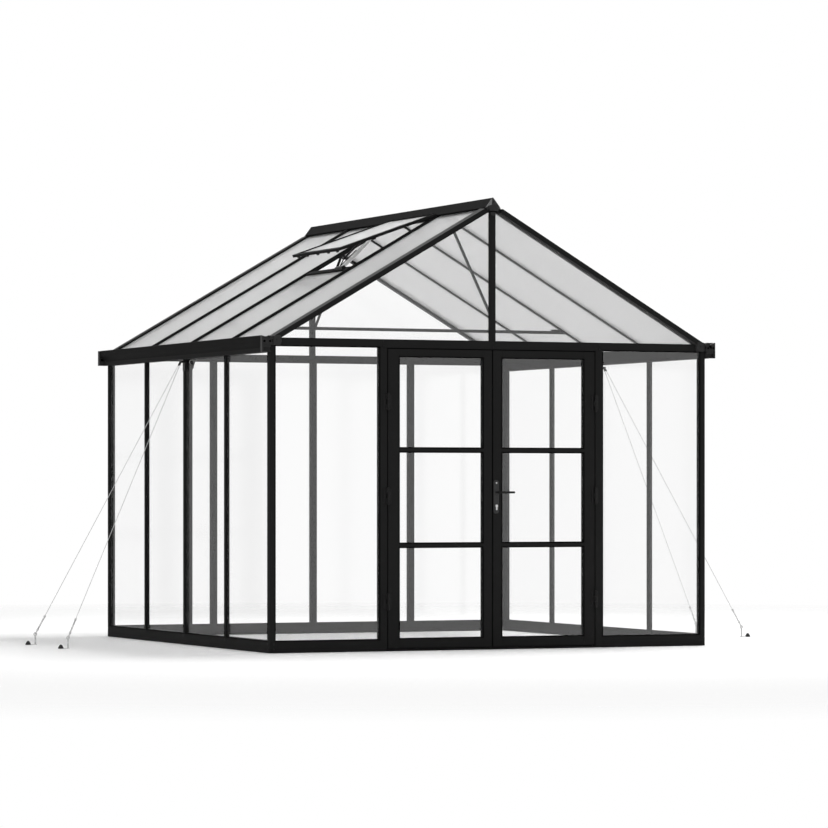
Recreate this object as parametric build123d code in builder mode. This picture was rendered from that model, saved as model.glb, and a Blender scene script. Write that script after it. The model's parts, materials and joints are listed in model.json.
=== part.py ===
"""Greenhouse of clear sheet in a dark bar frame.

Square plan, pitched roof with a gutter along each eave, a pair of glazed doors in
the front wall, a roof vent propped open and a pair of wire stays on each side.
+X is to the right of someone who faces the doors, +Y runs from the doors to the
back wall and +Z is up. The origin is on the ground, in the middle of the plan.
Lengths are in millimetres and angles in degrees.
"""

import os
from math import cos, radians, sin, tan

from build123d import *

os.makedirs("parts", exist_ok=True)

# Plan and heights of the frame
bays = 4
bay = 740.0
profile = 40.0
base_height = 75.0
base_depth = 50.0
eave_underside = 1841.0
tie_beam_rise = 89.0
tie_beam_height = 53.0
post_width = 38.0
slim_post_depth = 22.0
stout_post_depth = 50.0
knee_inside = 41.0
knee_outside = 70.0

# Roof bars
roof_pitch = 30.0
eave_rise = 81.0
rafter_width = 38.0
rafter_depth = 32.0
inner_rafter_depth = 22.0
roof_overhang = 12.0
ridge_beam_width = 36.0
ridge_cap_width = 104.0
ridge_cap_rise = 40.0
ridge_cap_edge = 8.0
ridge_end_width = 100.0
ridge_end_height = 90.0
ridge_end_thickness = 14.0
ridge_end_foot_width = 40.0
king_post_width = 42.0
king_post_depth = 20.0
brace_thickness = 14.0
brace_foot_rise = 140.0
brace_pitch = 45.0
collar_length = 2486.0
collar_thickness = 20.0

# Sheets
wall_sheet = 4.0
wall_sheet_inset = 11.0
roof_sheet = 6.0
roof_sheet_inset = 11.0
glazing_fit = 0.2

# Gutters
gutter_width = 55.0
gutter_height = 99.0
gutter_floor_width = 27.0
gutter_foot_height = 14.0
gutter_lip_height = 10.0
gutter_back_clearance = 9.0
gutter_wall = 3.0
gutter_end_thickness = 30.0
gutter_end_cover = 10.0
gutter_end_step = 48.0
gutter_bulge_share = 0.45
cut_overrun = 5.0

# Roof vent
vent_bay = 1
vent_opening_length = 725.0
vent_crossbar_width = 40.0
vent_crossbar_depth = 25.0
vent_open_angle = 10.5
vent_hinge_fit = 0.3
sash_length = 725.0
sash_overlap = 20.0
sash_bar = 32.0
sash_top_bar = 12.0
sash_depth = 18.0
opener_width = 22.0
opener_foot = 24.0
opener_head = 50.0
opener_head_run = 385.0
opener_offset = 232.0

# Door frame and leaves
door_opening_width = 1436.0
jamb_width = 54.0
threshold_height = 10.0
leaf_thickness = 34.0
leaf_gap = 6.0
meeting_gap = 8.0
hinge_stile_width = 79.0
meeting_stile_width = 64.0
top_rail_height = 51.0
bottom_rail_height = 63.0
muntin_height = 35.0
panes_per_leaf = 3
door_sheet = 5.0
stop_width = 30.0
stop_depth = 12.0
stop_cover = 16.0

# Hinges
hinge_height = 92.0
hinge_setout = 12.0
hinge_pin_radius = 4.0
hinge_pin_clearance = 0.05
hinge_knuckle_radius = 8.0
hinge_knuckle_gap = 0.5
hinge_web = 14.0
hinge_plate_width = 12.0
hinge_plate_thickness = 4.0
hinge_height_shares = (0.157, 0.509, 0.824)

# Door handle
handle_plate_width = 36.0
handle_plate_height = 211.0
handle_plate_thickness = 6.0
handle_inset = 20.0
spindle_height = 982.0
spindle_rise = 28.0
spindle_radius = 5.0
spindle_clearance = 0.05
lever_radius = 6.5
lever_reach = 46.0
lever_length = 105.0
lever_bend = 20.0
lever_gap = 0.5

# Wire stays
stay_drop = 18.0
stay_spread = 900.0
stay_splay = 330.0
stay_lug_reach = 30.0
stay_lug_width = 28.0
stay_lug_height = 12.0
stay_lug_split = 8.0
stay_plate_thickness = 4.0
stay_plate_height = 56.0
stay_socket_radius = 4.5
stay_socket_length = 26.0
stay_cable_radius = 2.0
turnbuckle_radius = 7.0
turnbuckle_length = 110.0
anchor_rod_radius = 5.0
anchor_eye_height = 68.0
anchor_rod_height = 76.0
peg_setout = 48.0
peg_radius = 18.0
peg_crown_radius = 6.0
peg_height = 26.0
strap_width = 14.0
strap_height = 4.0

# Places worked out from the sizes above
sides = (-1, 1)
post_line = bay * bays / 2
outer = post_line + profile / 2
inner = post_line - profile / 2
bar_places = [bay * step - post_line for step in range(bays + 1)]
inner_places = bar_places[1:-1]
pitch = radians(roof_pitch)
apex_height = eave_underside + eave_rise + outer * tan(pitch)
tie_beam_top = eave_underside + tie_beam_rise
tie_beam_underside = tie_beam_top - tie_beam_height
ridge_half = ridge_beam_width / 2
ridge_cap_half = ridge_cap_width / 2
ridge_top = apex_height + ridge_cap_rise
eave_end = outer + roof_overhang
roof_sheet_seat = roof_sheet_inset + roof_sheet
wall_sheet_line = outer - wall_sheet_inset - wall_sheet / 2


def across(y):
    """Sketch plane that cuts the building from side to side at y."""
    return Plane.XZ.offset(-y)


def slope_z(x, depth):
    """Height, at x from the middle, of the plane that lies depth below the rafter tops."""
    return apex_height - abs(x) * tan(pitch) - depth / cos(pitch)


def slope_x(z, depth):
    """Distance from the middle at which that plane has the height z."""
    return (apex_height - depth / cos(pitch) - z) / tan(pitch)


def slope_point(run, depth):
    """Point of the right slope's section, run down from the apex and depth below the tops."""
    x = run * cos(pitch) - depth * sin(pitch)
    z = apex_height - run * sin(pitch) - depth * cos(pitch)
    return (x, z)


def on_side(side, points):
    """The same section on the left (-1) or right (1) of the building."""
    return [(side * x, z) for x, z in points]


def both_sides(points):
    """A right-hand run of points, from top to bottom, closed by its mirror image."""
    return points + [(-x, z) for x, z in reversed(points)]


def clear_spans(bar_width):
    """Start and end of each bay between bars of the given width along one side."""
    starts = [-inner] + [place + bar_width / 2 for place in inner_places]
    ends = [place - bar_width / 2 for place in inner_places] + [inner]
    return list(zip(starts, ends))


# Base rails and threshold
with BuildPart() as side_bases:
    with BuildSketch():
        with Locations(*[(side * (outer - base_depth / 2), 0) for side in sides]):
            Rectangle(base_depth, 2 * outer)
    extrude(amount=base_height)

with BuildPart() as back_base:
    with BuildSketch():
        with Locations((0, outer - base_depth / 2)):
            Rectangle(2 * (outer - base_depth), base_depth)
    extrude(amount=base_height)

opening_half = door_opening_width / 2
jamb_outside = opening_half + jamb_width
front_base_length = outer - base_depth - jamb_outside
front_base_middle = jamb_outside + front_base_length / 2

with BuildPart() as front_base:
    with BuildSketch():
        with Locations(*[(side * front_base_middle, base_depth / 2 - outer) for side in sides]):
            Rectangle(front_base_length, base_depth)
    extrude(amount=base_height)

with BuildPart() as door_threshold:
    with BuildSketch():
        with Locations((0, base_depth / 2 - outer)):
            Rectangle(door_opening_width, base_depth)
    extrude(amount=threshold_height)


# Posts
with BuildPart() as corner_posts:
    with BuildSketch(Plane.XY.offset(base_height)):
        with GridLocations(2 * post_line, 2 * post_line, len(sides), len(sides)):
            Rectangle(profile, profile)
    extrude(amount=eave_underside - base_height)


stiffener_depth = stout_post_depth - slim_post_depth
stiffener_line = outer - slim_post_depth - stiffener_depth / 2
knee_height = eave_underside - knee_inside


def side_wall_posts(side):
    """Slim posts of one long wall, the one in the middle with a stiffener on its inner face."""
    slim_line = outer - slim_post_depth / 2
    with BuildPart() as posts:
        with BuildSketch(Plane.XY.offset(base_height)):
            with Locations(*[(side * slim_line, place) for place in inner_places]):
                Rectangle(slim_post_depth, post_width)
        extrude(amount=eave_underside - base_height)
        with BuildSketch(Plane.XY.offset(base_height)):
            with Locations((side * stiffener_line, 0)):
                Rectangle(stiffener_depth, post_width)
        extrude(amount=knee_height - base_height)
    return posts


left_wall_posts = side_wall_posts(-1)
right_wall_posts = side_wall_posts(1)

# Braces that spread from the top of each stiffener to the eave beam
knee_section = [
    (post_width / 2, eave_underside - knee_outside),
    (post_width / 2, knee_height),
    (post_width / 2 + knee_inside, eave_underside),
    (post_width / 2 + knee_outside, eave_underside),
]

with BuildPart() as knee_braces:
    for side in sides:
        for end in sides:
            with BuildSketch(Plane.YZ.offset(side * stiffener_line)):
                Polygon(*on_side(end, knee_section), align=None)
            extrude(amount=stiffener_depth / 2, both=True)

with BuildPart() as back_wall_posts:
    with BuildSketch(Plane.XY.offset(base_height)):
        with Locations(*[(place, outer - stout_post_depth / 2) for place in inner_places]):
            Rectangle(post_width, stout_post_depth)
    extrude(amount=tie_beam_underside - base_height)

with BuildPart() as door_jambs:
    with BuildSketch():
        with Locations(*[(side * (opening_half + jamb_width / 2), -post_line) for side in sides]):
            Rectangle(jamb_width, profile)
    extrude(amount=tie_beam_underside)

# Stops behind the leaves, on the inner faces of the jambs and the front tie beam
leaf_top = tie_beam_underside - leaf_gap
leaf_edge = opening_half - leaf_gap
stop_bottom = leaf_top - stop_cover
stop_middle = leaf_edge - stop_cover + stop_width / 2
stop_line = stop_depth / 2 - inner

with BuildPart() as door_stops:
    with BuildSketch(Plane.XY.offset(threshold_height)):
        with Locations(*[(side * stop_middle, stop_line) for side in sides]):
            Rectangle(stop_width, stop_depth)
    extrude(amount=stop_bottom - glazing_fit - threshold_height)
    with BuildSketch(Plane.XY.offset(stop_bottom)):
        with Locations((0, stop_line)):
            Rectangle(2 * stop_middle + stop_width, stop_depth)
    extrude(amount=stop_width)


# Beams along the eaves and across the gables
tie_beam_section = both_sides(
    [
        (slope_x(tie_beam_top, rafter_depth), tie_beam_top),
        (inner, slope_z(inner, rafter_depth)),
        (inner, tie_beam_underside),
    ]
)

with BuildPart() as tie_beams:
    for side in sides:
        with BuildSketch(across(side * post_line)):
            Polygon(*tie_beam_section, align=None)
        extrude(amount=profile / 2, both=True)

eave_section = [
    (inner, eave_underside),
    (outer, eave_underside),
    (outer, slope_z(outer, roof_sheet_seat)),
    (inner, slope_z(inner, roof_sheet_seat)),
]

with BuildPart() as eave_beams:
    for side in sides:
        with BuildSketch(across(0)):
            Polygon(*on_side(side, eave_section), align=None)
        extrude(amount=outer, both=True)


# Gutters with an ogee front, and the stepped caps that close their ends
gutter_front = outer + gutter_floor_width
gutter_lip = outer + gutter_width
gutter_top = eave_underside + gutter_height
gutter_foot = eave_underside + gutter_foot_height
gutter_neck = gutter_top - gutter_lip_height
gutter_bulge = gutter_bulge_share * gutter_height
gutter_back_top = slope_z(outer + gutter_wall, roof_sheet_seat) - gutter_back_clearance
end_cap_inside = outer - gutter_end_cover
end_cap_step = eave_underside + gutter_end_step


def ogee(shift):
    """Front curve of the gutter from foot to neck, moved back by shift."""
    return Bezier(
        (gutter_front - shift, gutter_foot),
        (gutter_front - shift, gutter_foot + gutter_bulge),
        (gutter_lip - shift, gutter_neck - gutter_bulge),
        (gutter_lip - shift, gutter_neck),
    )


with BuildPart() as gutters:
    with BuildSketch(across(0)):
        with BuildLine():
            ogee(0)
            Polyline(
                (gutter_lip, gutter_neck),
                (gutter_lip, gutter_top),
                (outer, gutter_top),
                (outer, eave_underside),
                (gutter_front, eave_underside),
                (gutter_front, gutter_foot),
            )
        make_face()
        with BuildLine():
            ogee(gutter_wall)
            Polyline(
                (gutter_lip - gutter_wall, gutter_neck),
                (gutter_lip - gutter_wall, gutter_top + cut_overrun),
                (outer - cut_overrun, gutter_top + cut_overrun),
                (outer - cut_overrun, gutter_back_top),
                (outer + gutter_wall, gutter_back_top),
                (outer + gutter_wall, eave_underside + gutter_wall),
                (gutter_front - gutter_wall, eave_underside + gutter_wall),
                (gutter_front - gutter_wall, gutter_foot),
            )
        make_face(mode=Mode.SUBTRACT)
    extrude(amount=outer, both=True)
    mirror(about=Plane.YZ)

with BuildPart() as gutter_end_caps:
    with BuildSketch(across(-outer)):
        Polygon(
            (outer, eave_underside),
            (gutter_lip, eave_underside),
            (gutter_lip, gutter_top),
            (end_cap_inside, gutter_top),
            (end_cap_inside, end_cap_step),
            (outer, end_cap_step),
            align=None,
        )
    extrude(amount=gutter_end_thickness)
    mirror(about=Plane.YZ)
    mirror(about=Plane.XZ)


# Rafters, each notched over the eave beam
def rafter_section(depth):
    """Section of a rafter along the right slope."""
    return [
        (ridge_half, slope_z(ridge_half, 0)),
        (eave_end, slope_z(eave_end, 0)),
        (eave_end, slope_z(eave_end, roof_sheet_seat)),
        (inner, slope_z(inner, roof_sheet_seat)),
        (inner, slope_z(inner, depth)),
        (ridge_half, slope_z(ridge_half, depth)),
    ]


def slope_rafters(side):
    """Rafters of one slope; those at the gables are deeper, and as wide as the walls are thick."""
    with BuildPart() as rafters:
        for place in bar_places:
            at_gable = place not in inner_places
            width = profile if at_gable else rafter_width
            depth = rafter_depth if at_gable else inner_rafter_depth
            with BuildSketch(across(place)):
                Polygon(*on_side(side, rafter_section(depth)), align=None)
            extrude(amount=width / 2, both=True)
    return rafters


left_rafters = slope_rafters(-1)
right_rafters = slope_rafters(1)

# Ridge
ridge_underside = slope_z(ridge_half, rafter_depth)

with BuildPart() as ridge_beam:
    with BuildSketch(across(0)):
        Polygon(
            (0, apex_height),
            *both_sides([(ridge_half, slope_z(ridge_half, 0)), (ridge_half, ridge_underside)]),
            align=None,
        )
    extrude(amount=outer, both=True)

with BuildPart() as ridge_cap:
    with BuildSketch(across(0)):
        for side in sides:
            cap_half_section = [
                (0, apex_height),
                (0, ridge_top),
                (ridge_cap_half, slope_z(ridge_cap_half, 0) + ridge_cap_edge),
                (ridge_cap_half, slope_z(ridge_cap_half, 0)),
            ]
            Polygon(*on_side(side, cap_half_section), align=None)
    extrude(amount=outer, both=True)

ridge_end_half = ridge_end_width / 2
ridge_end_bottom = ridge_top - ridge_end_height

with BuildPart() as ridge_end_caps:
    with BuildSketch(across(-outer)):
        Polygon(
            (0, ridge_top),
            *both_sides(
                [
                    (ridge_end_half, slope_z(ridge_end_half, 0)),
                    (ridge_end_foot_width / 2, ridge_end_bottom),
                ]
            ),
            align=None,
        )
    extrude(amount=ridge_end_thickness)
    mirror(about=Plane.XZ)

# King posts, braces under the ridge and the collar tie of the middle frame
king_post_top = slope_z(max(king_post_width / 2, ridge_half), rafter_depth)
king_post_back = outer - king_post_depth

with BuildPart() as king_posts:
    with BuildSketch(Plane.XY.offset(tie_beam_top)):
        with Locations(*[(0, side * (outer - king_post_depth / 2)) for side in sides]):
            Rectangle(king_post_width, king_post_depth)
    extrude(amount=king_post_top - tie_beam_top)

brace_angle = radians(brace_pitch)
brace_foot = tie_beam_top + brace_foot_rise
brace_head = brace_foot + brace_thickness / cos(brace_angle)

with BuildPart() as ridge_braces:
    with BuildSketch(Plane.YZ):
        Polygon(
            (-king_post_back, brace_foot),
            ((ridge_underside - brace_foot) / tan(brace_angle) - king_post_back, ridge_underside),
            ((ridge_underside - brace_head) / tan(brace_angle) - king_post_back, ridge_underside),
            (-king_post_back, brace_head),
            align=None,
        )
    extrude(amount=brace_thickness / 2, both=True)
    mirror(about=Plane.XZ)

collar_height = slope_z(collar_length / 2, inner_rafter_depth)
collar_top = collar_height + collar_thickness

with BuildPart() as collar_tie:
    with BuildSketch(across(0)):
        Polygon(
            *both_sides(
                [
                    (slope_x(collar_top, inner_rafter_depth), collar_top),
                    (slope_x(collar_height, inner_rafter_depth), collar_height),
                ]
            ),
            align=None,
        )
    extrude(amount=collar_thickness / 2, both=True)


# Sheets of the walls and gables
def side_wall_sheets(side):
    """One sheet in each bay of a long wall, from base rail to eave beam."""
    height = eave_underside - base_height - 2 * glazing_fit
    with BuildPart() as sheets:
        for start, end in clear_spans(post_width):
            middle = (side * wall_sheet_line, (start + end) / 2, (base_height + eave_underside) / 2)
            with Locations(middle):
                Box(wall_sheet, end - start - 2 * glazing_fit, height)
    return sheets


left_wall_panels = side_wall_sheets(-1)
right_wall_panels = side_wall_sheets(1)


def gable_wall_sheets(spans, line):
    """One sheet in each span of a gable wall, from base rail to tie beam."""
    height = tie_beam_underside - base_height - 2 * glazing_fit
    with BuildPart() as sheets:
        for start, end in spans:
            with Locations(((start + end) / 2, line, (base_height + tie_beam_underside) / 2)):
                Box(end - start - 2 * glazing_fit, wall_sheet, height)
    return sheets


front_spans = [(-inner, -jamb_outside), (jamb_outside, inner)]
back_wall_panels = gable_wall_sheets(clear_spans(post_width), wall_sheet_line)
front_wall_panels = gable_wall_sheets(front_spans, -wall_sheet_line)

gable_inside = king_post_width / 2 + glazing_fit
gable_bottom = tie_beam_top + glazing_fit
gable_section = [
    (gable_inside, gable_bottom),
    (slope_x(gable_bottom, rafter_depth + glazing_fit), gable_bottom),
    (gable_inside, slope_z(gable_inside, rafter_depth + glazing_fit)),
]

with BuildPart() as gable_panels:
    for end in sides:
        for side in sides:
            with BuildSketch(across(end * wall_sheet_line)):
                Polygon(*on_side(side, gable_section), align=None)
            extrude(amount=wall_sheet / 2, both=True)

# Sheets of the roof; the one below the vent starts at the vent's crossbar
vent_crossbar_end = vent_opening_length + vent_crossbar_width
full_sheet_section = [
    (ridge_half + glazing_fit, slope_z(ridge_half + glazing_fit, roof_sheet_inset)),
    (eave_end, slope_z(eave_end, roof_sheet_inset)),
    (eave_end, slope_z(eave_end, roof_sheet_seat)),
    (ridge_half + glazing_fit, slope_z(ridge_half + glazing_fit, roof_sheet_seat)),
]
short_sheet_section = [
    slope_point(vent_crossbar_end + glazing_fit, roof_sheet_inset),
    (eave_end, slope_z(eave_end, roof_sheet_inset)),
    (eave_end, slope_z(eave_end, roof_sheet_seat)),
    slope_point(vent_crossbar_end + glazing_fit, roof_sheet_seat),
]


def roof_sheets(side, short_bay):
    """One sheet in each bay of a slope, and a short one in the bay that has the vent."""
    with BuildPart() as sheets:
        for number, (start, end) in enumerate(clear_spans(rafter_width)):
            section = short_sheet_section if number == short_bay else full_sheet_section
            with BuildSketch(across((start + end) / 2)):
                Polygon(*on_side(side, section), align=None)
            extrude(amount=(end - start) / 2 - glazing_fit, both=True)
    return sheets


left_roof_panels = roof_sheets(-1, vent_bay)
right_roof_panels = roof_sheets(1, None)

# Roof vent on the left slope, hinged at the ridge cap and propped open
vent_start, vent_end = clear_spans(rafter_width)[vent_bay]
vent_middle = (vent_start + vent_end) / 2
vent_half = (vent_end - vent_start) / 2
sash_half = bay / 2 + sash_overlap
sash_pitch = radians(roof_pitch - vent_open_angle)
sash_hinge_x = ridge_cap_half + vent_hinge_fit
sash_hinge_z = slope_z(sash_hinge_x, 0)


def sash_point(run, lift):
    """Point of the sash's section, run down from its hinge and lift above its underside."""
    x = sash_hinge_x + run * cos(sash_pitch) + lift * sin(sash_pitch)
    z = sash_hinge_z - run * sin(sash_pitch) + lift * cos(sash_pitch)
    return (-x, z)


def sash_block(run_start, run_end, lift_start, lift_end):
    """Section of a straight bar or sheet of the sash."""
    return [
        sash_point(run_start, lift_start),
        sash_point(run_end, lift_start),
        sash_point(run_end, lift_end),
        sash_point(run_start, lift_end),
    ]


with BuildPart() as vent_crossbar:
    crossbar_section = [
        slope_point(vent_opening_length, 0),
        slope_point(vent_crossbar_end, 0),
        slope_point(vent_crossbar_end, vent_crossbar_depth),
        slope_point(vent_opening_length, vent_crossbar_depth),
    ]
    with BuildSketch(across(vent_middle)):
        Polygon(*on_side(-1, crossbar_section), align=None)
    extrude(amount=vent_half - glazing_fit, both=True)

with BuildPart() as vent_sash_sides:
    for side in sides:
        with BuildSketch(across(vent_middle + side * (sash_half - sash_bar / 2))):
            Polygon(*sash_block(0, sash_length, 0, sash_depth), align=None)
        extrude(amount=sash_bar / 2, both=True)

with BuildPart() as vent_sash_rails:
    for start, width in ((0, sash_top_bar), (sash_length - sash_bar, sash_bar)):
        with BuildSketch(across(vent_middle)):
            Polygon(*sash_block(start, start + width, 0, sash_depth), align=None)
        extrude(amount=sash_half - sash_bar - glazing_fit, both=True)

with BuildPart() as vent_pane:
    pane_low = (sash_depth - roof_sheet) / 2
    pane_start = sash_top_bar + glazing_fit
    pane_end = sash_length - sash_bar - glazing_fit
    with BuildSketch(across(vent_middle)):
        Polygon(*sash_block(pane_start, pane_end, pane_low, pane_low + roof_sheet), align=None)
    extrude(amount=sash_half - sash_bar - glazing_fit, both=True)

# Opener: an arm from the crossbar up to the sash, nearer the doors than the vent's middle
opener_line = vent_middle - opener_offset
opener_foot_start = vent_opening_length + (vent_crossbar_width - opener_foot) / 2

with BuildPart() as vent_opener:
    opener_foot_points = [
        slope_point(opener_foot_start, 0),
        slope_point(opener_foot_start + opener_foot, 0),
    ]
    with BuildSketch(across(opener_line)):
        Polygon(
            *on_side(-1, opener_foot_points),
            sash_point(opener_head_run + opener_head, 0),
            sash_point(opener_head_run, 0),
            align=None,
        )
    extrude(amount=opener_width / 2, both=True)


# Door leaves
leaf_bottom = threshold_height + leaf_gap
leaf_height = leaf_top - leaf_bottom
leaf_line = leaf_thickness / 2 - outer
meeting_edge = meeting_gap / 2
rail_start = meeting_edge + meeting_stile_width
rail_end = leaf_edge - hinge_stile_width
rail_middle = (rail_start + rail_end) / 2
rail_length = rail_end - rail_start
glass_bottom = leaf_bottom + bottom_rail_height
glass_top = leaf_top - top_rail_height
muntins = panes_per_leaf - 1
pane_height = (glass_top - glass_bottom - muntins * muntin_height) / panes_per_leaf
pane_step = pane_height + muntin_height
spindle_x = meeting_edge + handle_inset


def leaf_stiles(side):
    """Upright bars of a leaf, at the meeting edge and at the hinges."""
    with BuildPart() as stiles:
        with BuildSketch(Plane.XY.offset(leaf_bottom)):
            with Locations((side * (meeting_edge + meeting_stile_width / 2), leaf_line)):
                Rectangle(meeting_stile_width, leaf_thickness)
            with Locations((side * (leaf_edge - hinge_stile_width / 2), leaf_line)):
                Rectangle(hinge_stile_width, leaf_thickness)
        extrude(amount=leaf_height)
    return stiles


def leaf_rails(side):
    """Top and bottom rails of a leaf and the slim rails between its panes."""
    bars = [(leaf_bottom, bottom_rail_height), (glass_top, top_rail_height)]
    for number in range(muntins):
        bars.append((glass_bottom + pane_height + number * pane_step, muntin_height))
    with BuildPart() as rails:
        for start, height in bars:
            with Locations((side * rail_middle, leaf_line, start + height / 2)):
                Box(rail_length, leaf_thickness, height)
    return rails


def leaf_panes(side):
    """Sheets of a leaf, from bottom to top."""
    with BuildPart() as panes:
        for number in range(panes_per_leaf):
            middle = glass_bottom + pane_height / 2 + number * pane_step
            with Locations((side * rail_middle, leaf_line, middle)):
                Box(rail_length - 2 * glazing_fit, door_sheet, pane_height - 2 * glazing_fit)
    return panes


left_door_stiles = leaf_stiles(-1)
left_door_rails = leaf_rails(-1)
left_door_panes = leaf_panes(-1)
right_door_rails = leaf_rails(1)
right_door_panes = leaf_panes(1)
plain_right_stiles = leaf_stiles(1)

with BuildPart() as right_door_stiles:
    add(plain_right_stiles)
    with BuildSketch(across(-outer)):
        with Locations((spindle_x, spindle_height)):
            Circle(spindle_radius + spindle_clearance)
    extrude(amount=-leaf_thickness, mode=Mode.SUBTRACT)


# Hinges: fixed knuckles with the pin on the jamb, a sleeve between them on the leaf
hinge_x = opening_half - leaf_gap / 2
hinge_y = -outer - hinge_setout
hinge_heights = [leaf_bottom + share * leaf_height for share in hinge_height_shares]
knuckle_height = (hinge_height - 2 * hinge_knuckle_gap) / 3
knuckle_step = knuckle_height + hinge_knuckle_gap
plate_reach = hinge_web + hinge_plate_width / 2
plate_line = -outer - hinge_plate_thickness / 2
web_line = -outer - hinge_setout / 2

with BuildPart() as hinge_pins:
    for side in sides:
        for height in hinge_heights:
            with Locations((side * hinge_x, hinge_y, height)):
                Cylinder(hinge_pin_radius, hinge_height)
            with Locations((side * (hinge_x + plate_reach), plate_line, height)):
                Box(hinge_plate_width, hinge_plate_thickness, hinge_height)
            for end in sides:
                level = height + end * knuckle_step
                with Locations((side * hinge_x, hinge_y, level)):
                    Cylinder(hinge_knuckle_radius, knuckle_height)
                with Locations((side * (hinge_x + hinge_web / 2), web_line, level)):
                    Box(hinge_web, hinge_setout, knuckle_height)


def hinge_sleeves(side):
    """Moving halves of one leaf's hinges: sleeve, web and plate on the hinge stile."""
    with BuildPart() as sleeves:
        for height in hinge_heights:
            with Locations((side * hinge_x, hinge_y, height)):
                Cylinder(hinge_knuckle_radius, knuckle_height)
            with Locations((side * (hinge_x - hinge_web / 2), web_line, height)):
                Box(hinge_web, hinge_setout, knuckle_height)
            with Locations((side * (hinge_x - plate_reach), plate_line, height)):
                Box(hinge_plate_width, hinge_plate_thickness, hinge_height)
            with Locations((side * hinge_x, hinge_y, height)):
                Cylinder(
                    hinge_pin_radius + hinge_pin_clearance,
                    hinge_height,
                    mode=Mode.SUBTRACT,
                )
    return sleeves


left_hinge_sleeves = hinge_sleeves(-1)
right_hinge_sleeves = hinge_sleeves(1)


# Handle of the right leaf: a plate on each face and one lever pair on a spindle
leaf_mid_plane = across(leaf_line)
lever_root = -outer - handle_plate_thickness - lever_gap
lever_line = -outer - lever_reach

with BuildPart() as handle_plates:
    with BuildSketch(across(-outer)):
        with Locations((spindle_x, spindle_height - spindle_rise)):
            SlotOverall(handle_plate_height, handle_plate_width, rotation=90)
        with Locations((spindle_x, spindle_height)):
            Circle(spindle_radius + spindle_clearance, mode=Mode.SUBTRACT)
    extrude(amount=handle_plate_thickness)
    mirror(about=leaf_mid_plane)

with BuildPart() as handle_lever:
    with BuildLine():
        FilletPolyline(
            (spindle_x, lever_root, spindle_height),
            (spindle_x, lever_line, spindle_height),
            (spindle_x + lever_length, lever_line, spindle_height),
            radius=lever_bend,
        )
    with BuildSketch(across(lever_root)):
        with Locations((spindle_x, spindle_height)):
            Circle(lever_radius)
    sweep()
    mirror(about=leaf_mid_plane)
    with BuildSketch(leaf_mid_plane):
        with Locations((spindle_x, spindle_height)):
            Circle(spindle_radius)
    extrude(amount=leaf_line - lever_root, both=True)


# Wire stays: lug on the middle post, cable, turnbuckle and ground anchor in one line
stay_ends = [(side, end) for side in sides for end in sides]
stay_height = eave_underside - stay_drop


def stay_line(side, end):
    """Upper end of a stay, the eye of its anchor and the direction between them."""
    lug_x = outer + stay_lug_reach - stay_socket_radius
    upper = Vector(side * lug_x, end * stay_lug_split, stay_height)
    eye = Vector(side * (outer + stay_spread), end * stay_splay, anchor_eye_height)
    return upper, eye, (eye - upper).normalized()


plate_hang = (Align.CENTER, Align.CENTER, Align.MAX)
on_ground = (Align.CENTER, Align.CENTER, Align.MIN)

with BuildPart() as stay_brackets:
    for side in sides:
        with Locations((side * (outer + stay_plate_thickness / 2), 0, stay_height)):
            Box(stay_plate_thickness, post_width, stay_plate_height, align=plate_hang)
        with Locations((side * (outer + stay_lug_reach / 2), 0, stay_height)):
            Box(stay_lug_reach, stay_lug_width, stay_lug_height)
    for side, end in stay_ends:
        upper, eye, direction = stay_line(side, end)
        with BuildSketch(Plane(origin=upper, z_dir=direction)):
            Circle(stay_socket_radius)
        extrude(amount=stay_socket_length)

with BuildPart() as stay_cables:
    for side, end in stay_ends:
        upper, eye, direction = stay_line(side, end)
        start = upper + direction * stay_socket_length
        finish = eye - direction * (stay_socket_length + turnbuckle_length)
        with BuildSketch(Plane(origin=start, z_dir=direction)):
            Circle(stay_cable_radius)
        extrude(amount=(finish - start).length)

with BuildPart() as turnbuckles:
    for side, end in stay_ends:
        upper, eye, direction = stay_line(side, end)
        start = eye - direction * (stay_socket_length + turnbuckle_length)
        with BuildSketch(Plane(origin=start, z_dir=direction)):
            Circle(turnbuckle_radius)
        extrude(amount=turnbuckle_length)

with BuildPart() as ground_anchors:
    for side, end in stay_ends:
        upper, eye, direction = stay_line(side, end)
        with BuildSketch():
            with Locations((eye.X, eye.Y)):
                Circle(anchor_rod_radius)
        extrude(amount=anchor_rod_height)
        with BuildSketch(Plane(origin=eye - direction * stay_socket_length, z_dir=direction)):
            Circle(stay_socket_radius)
        extrude(amount=stay_socket_length)
        with Locations((eye.X + side * peg_setout / 2, eye.Y)):
            Box(peg_setout, strap_width, strap_height, align=on_ground)
        with Locations((eye.X + side * peg_setout, eye.Y)):
            Cone(peg_radius, peg_crown_radius, peg_height, align=on_ground)


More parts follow.
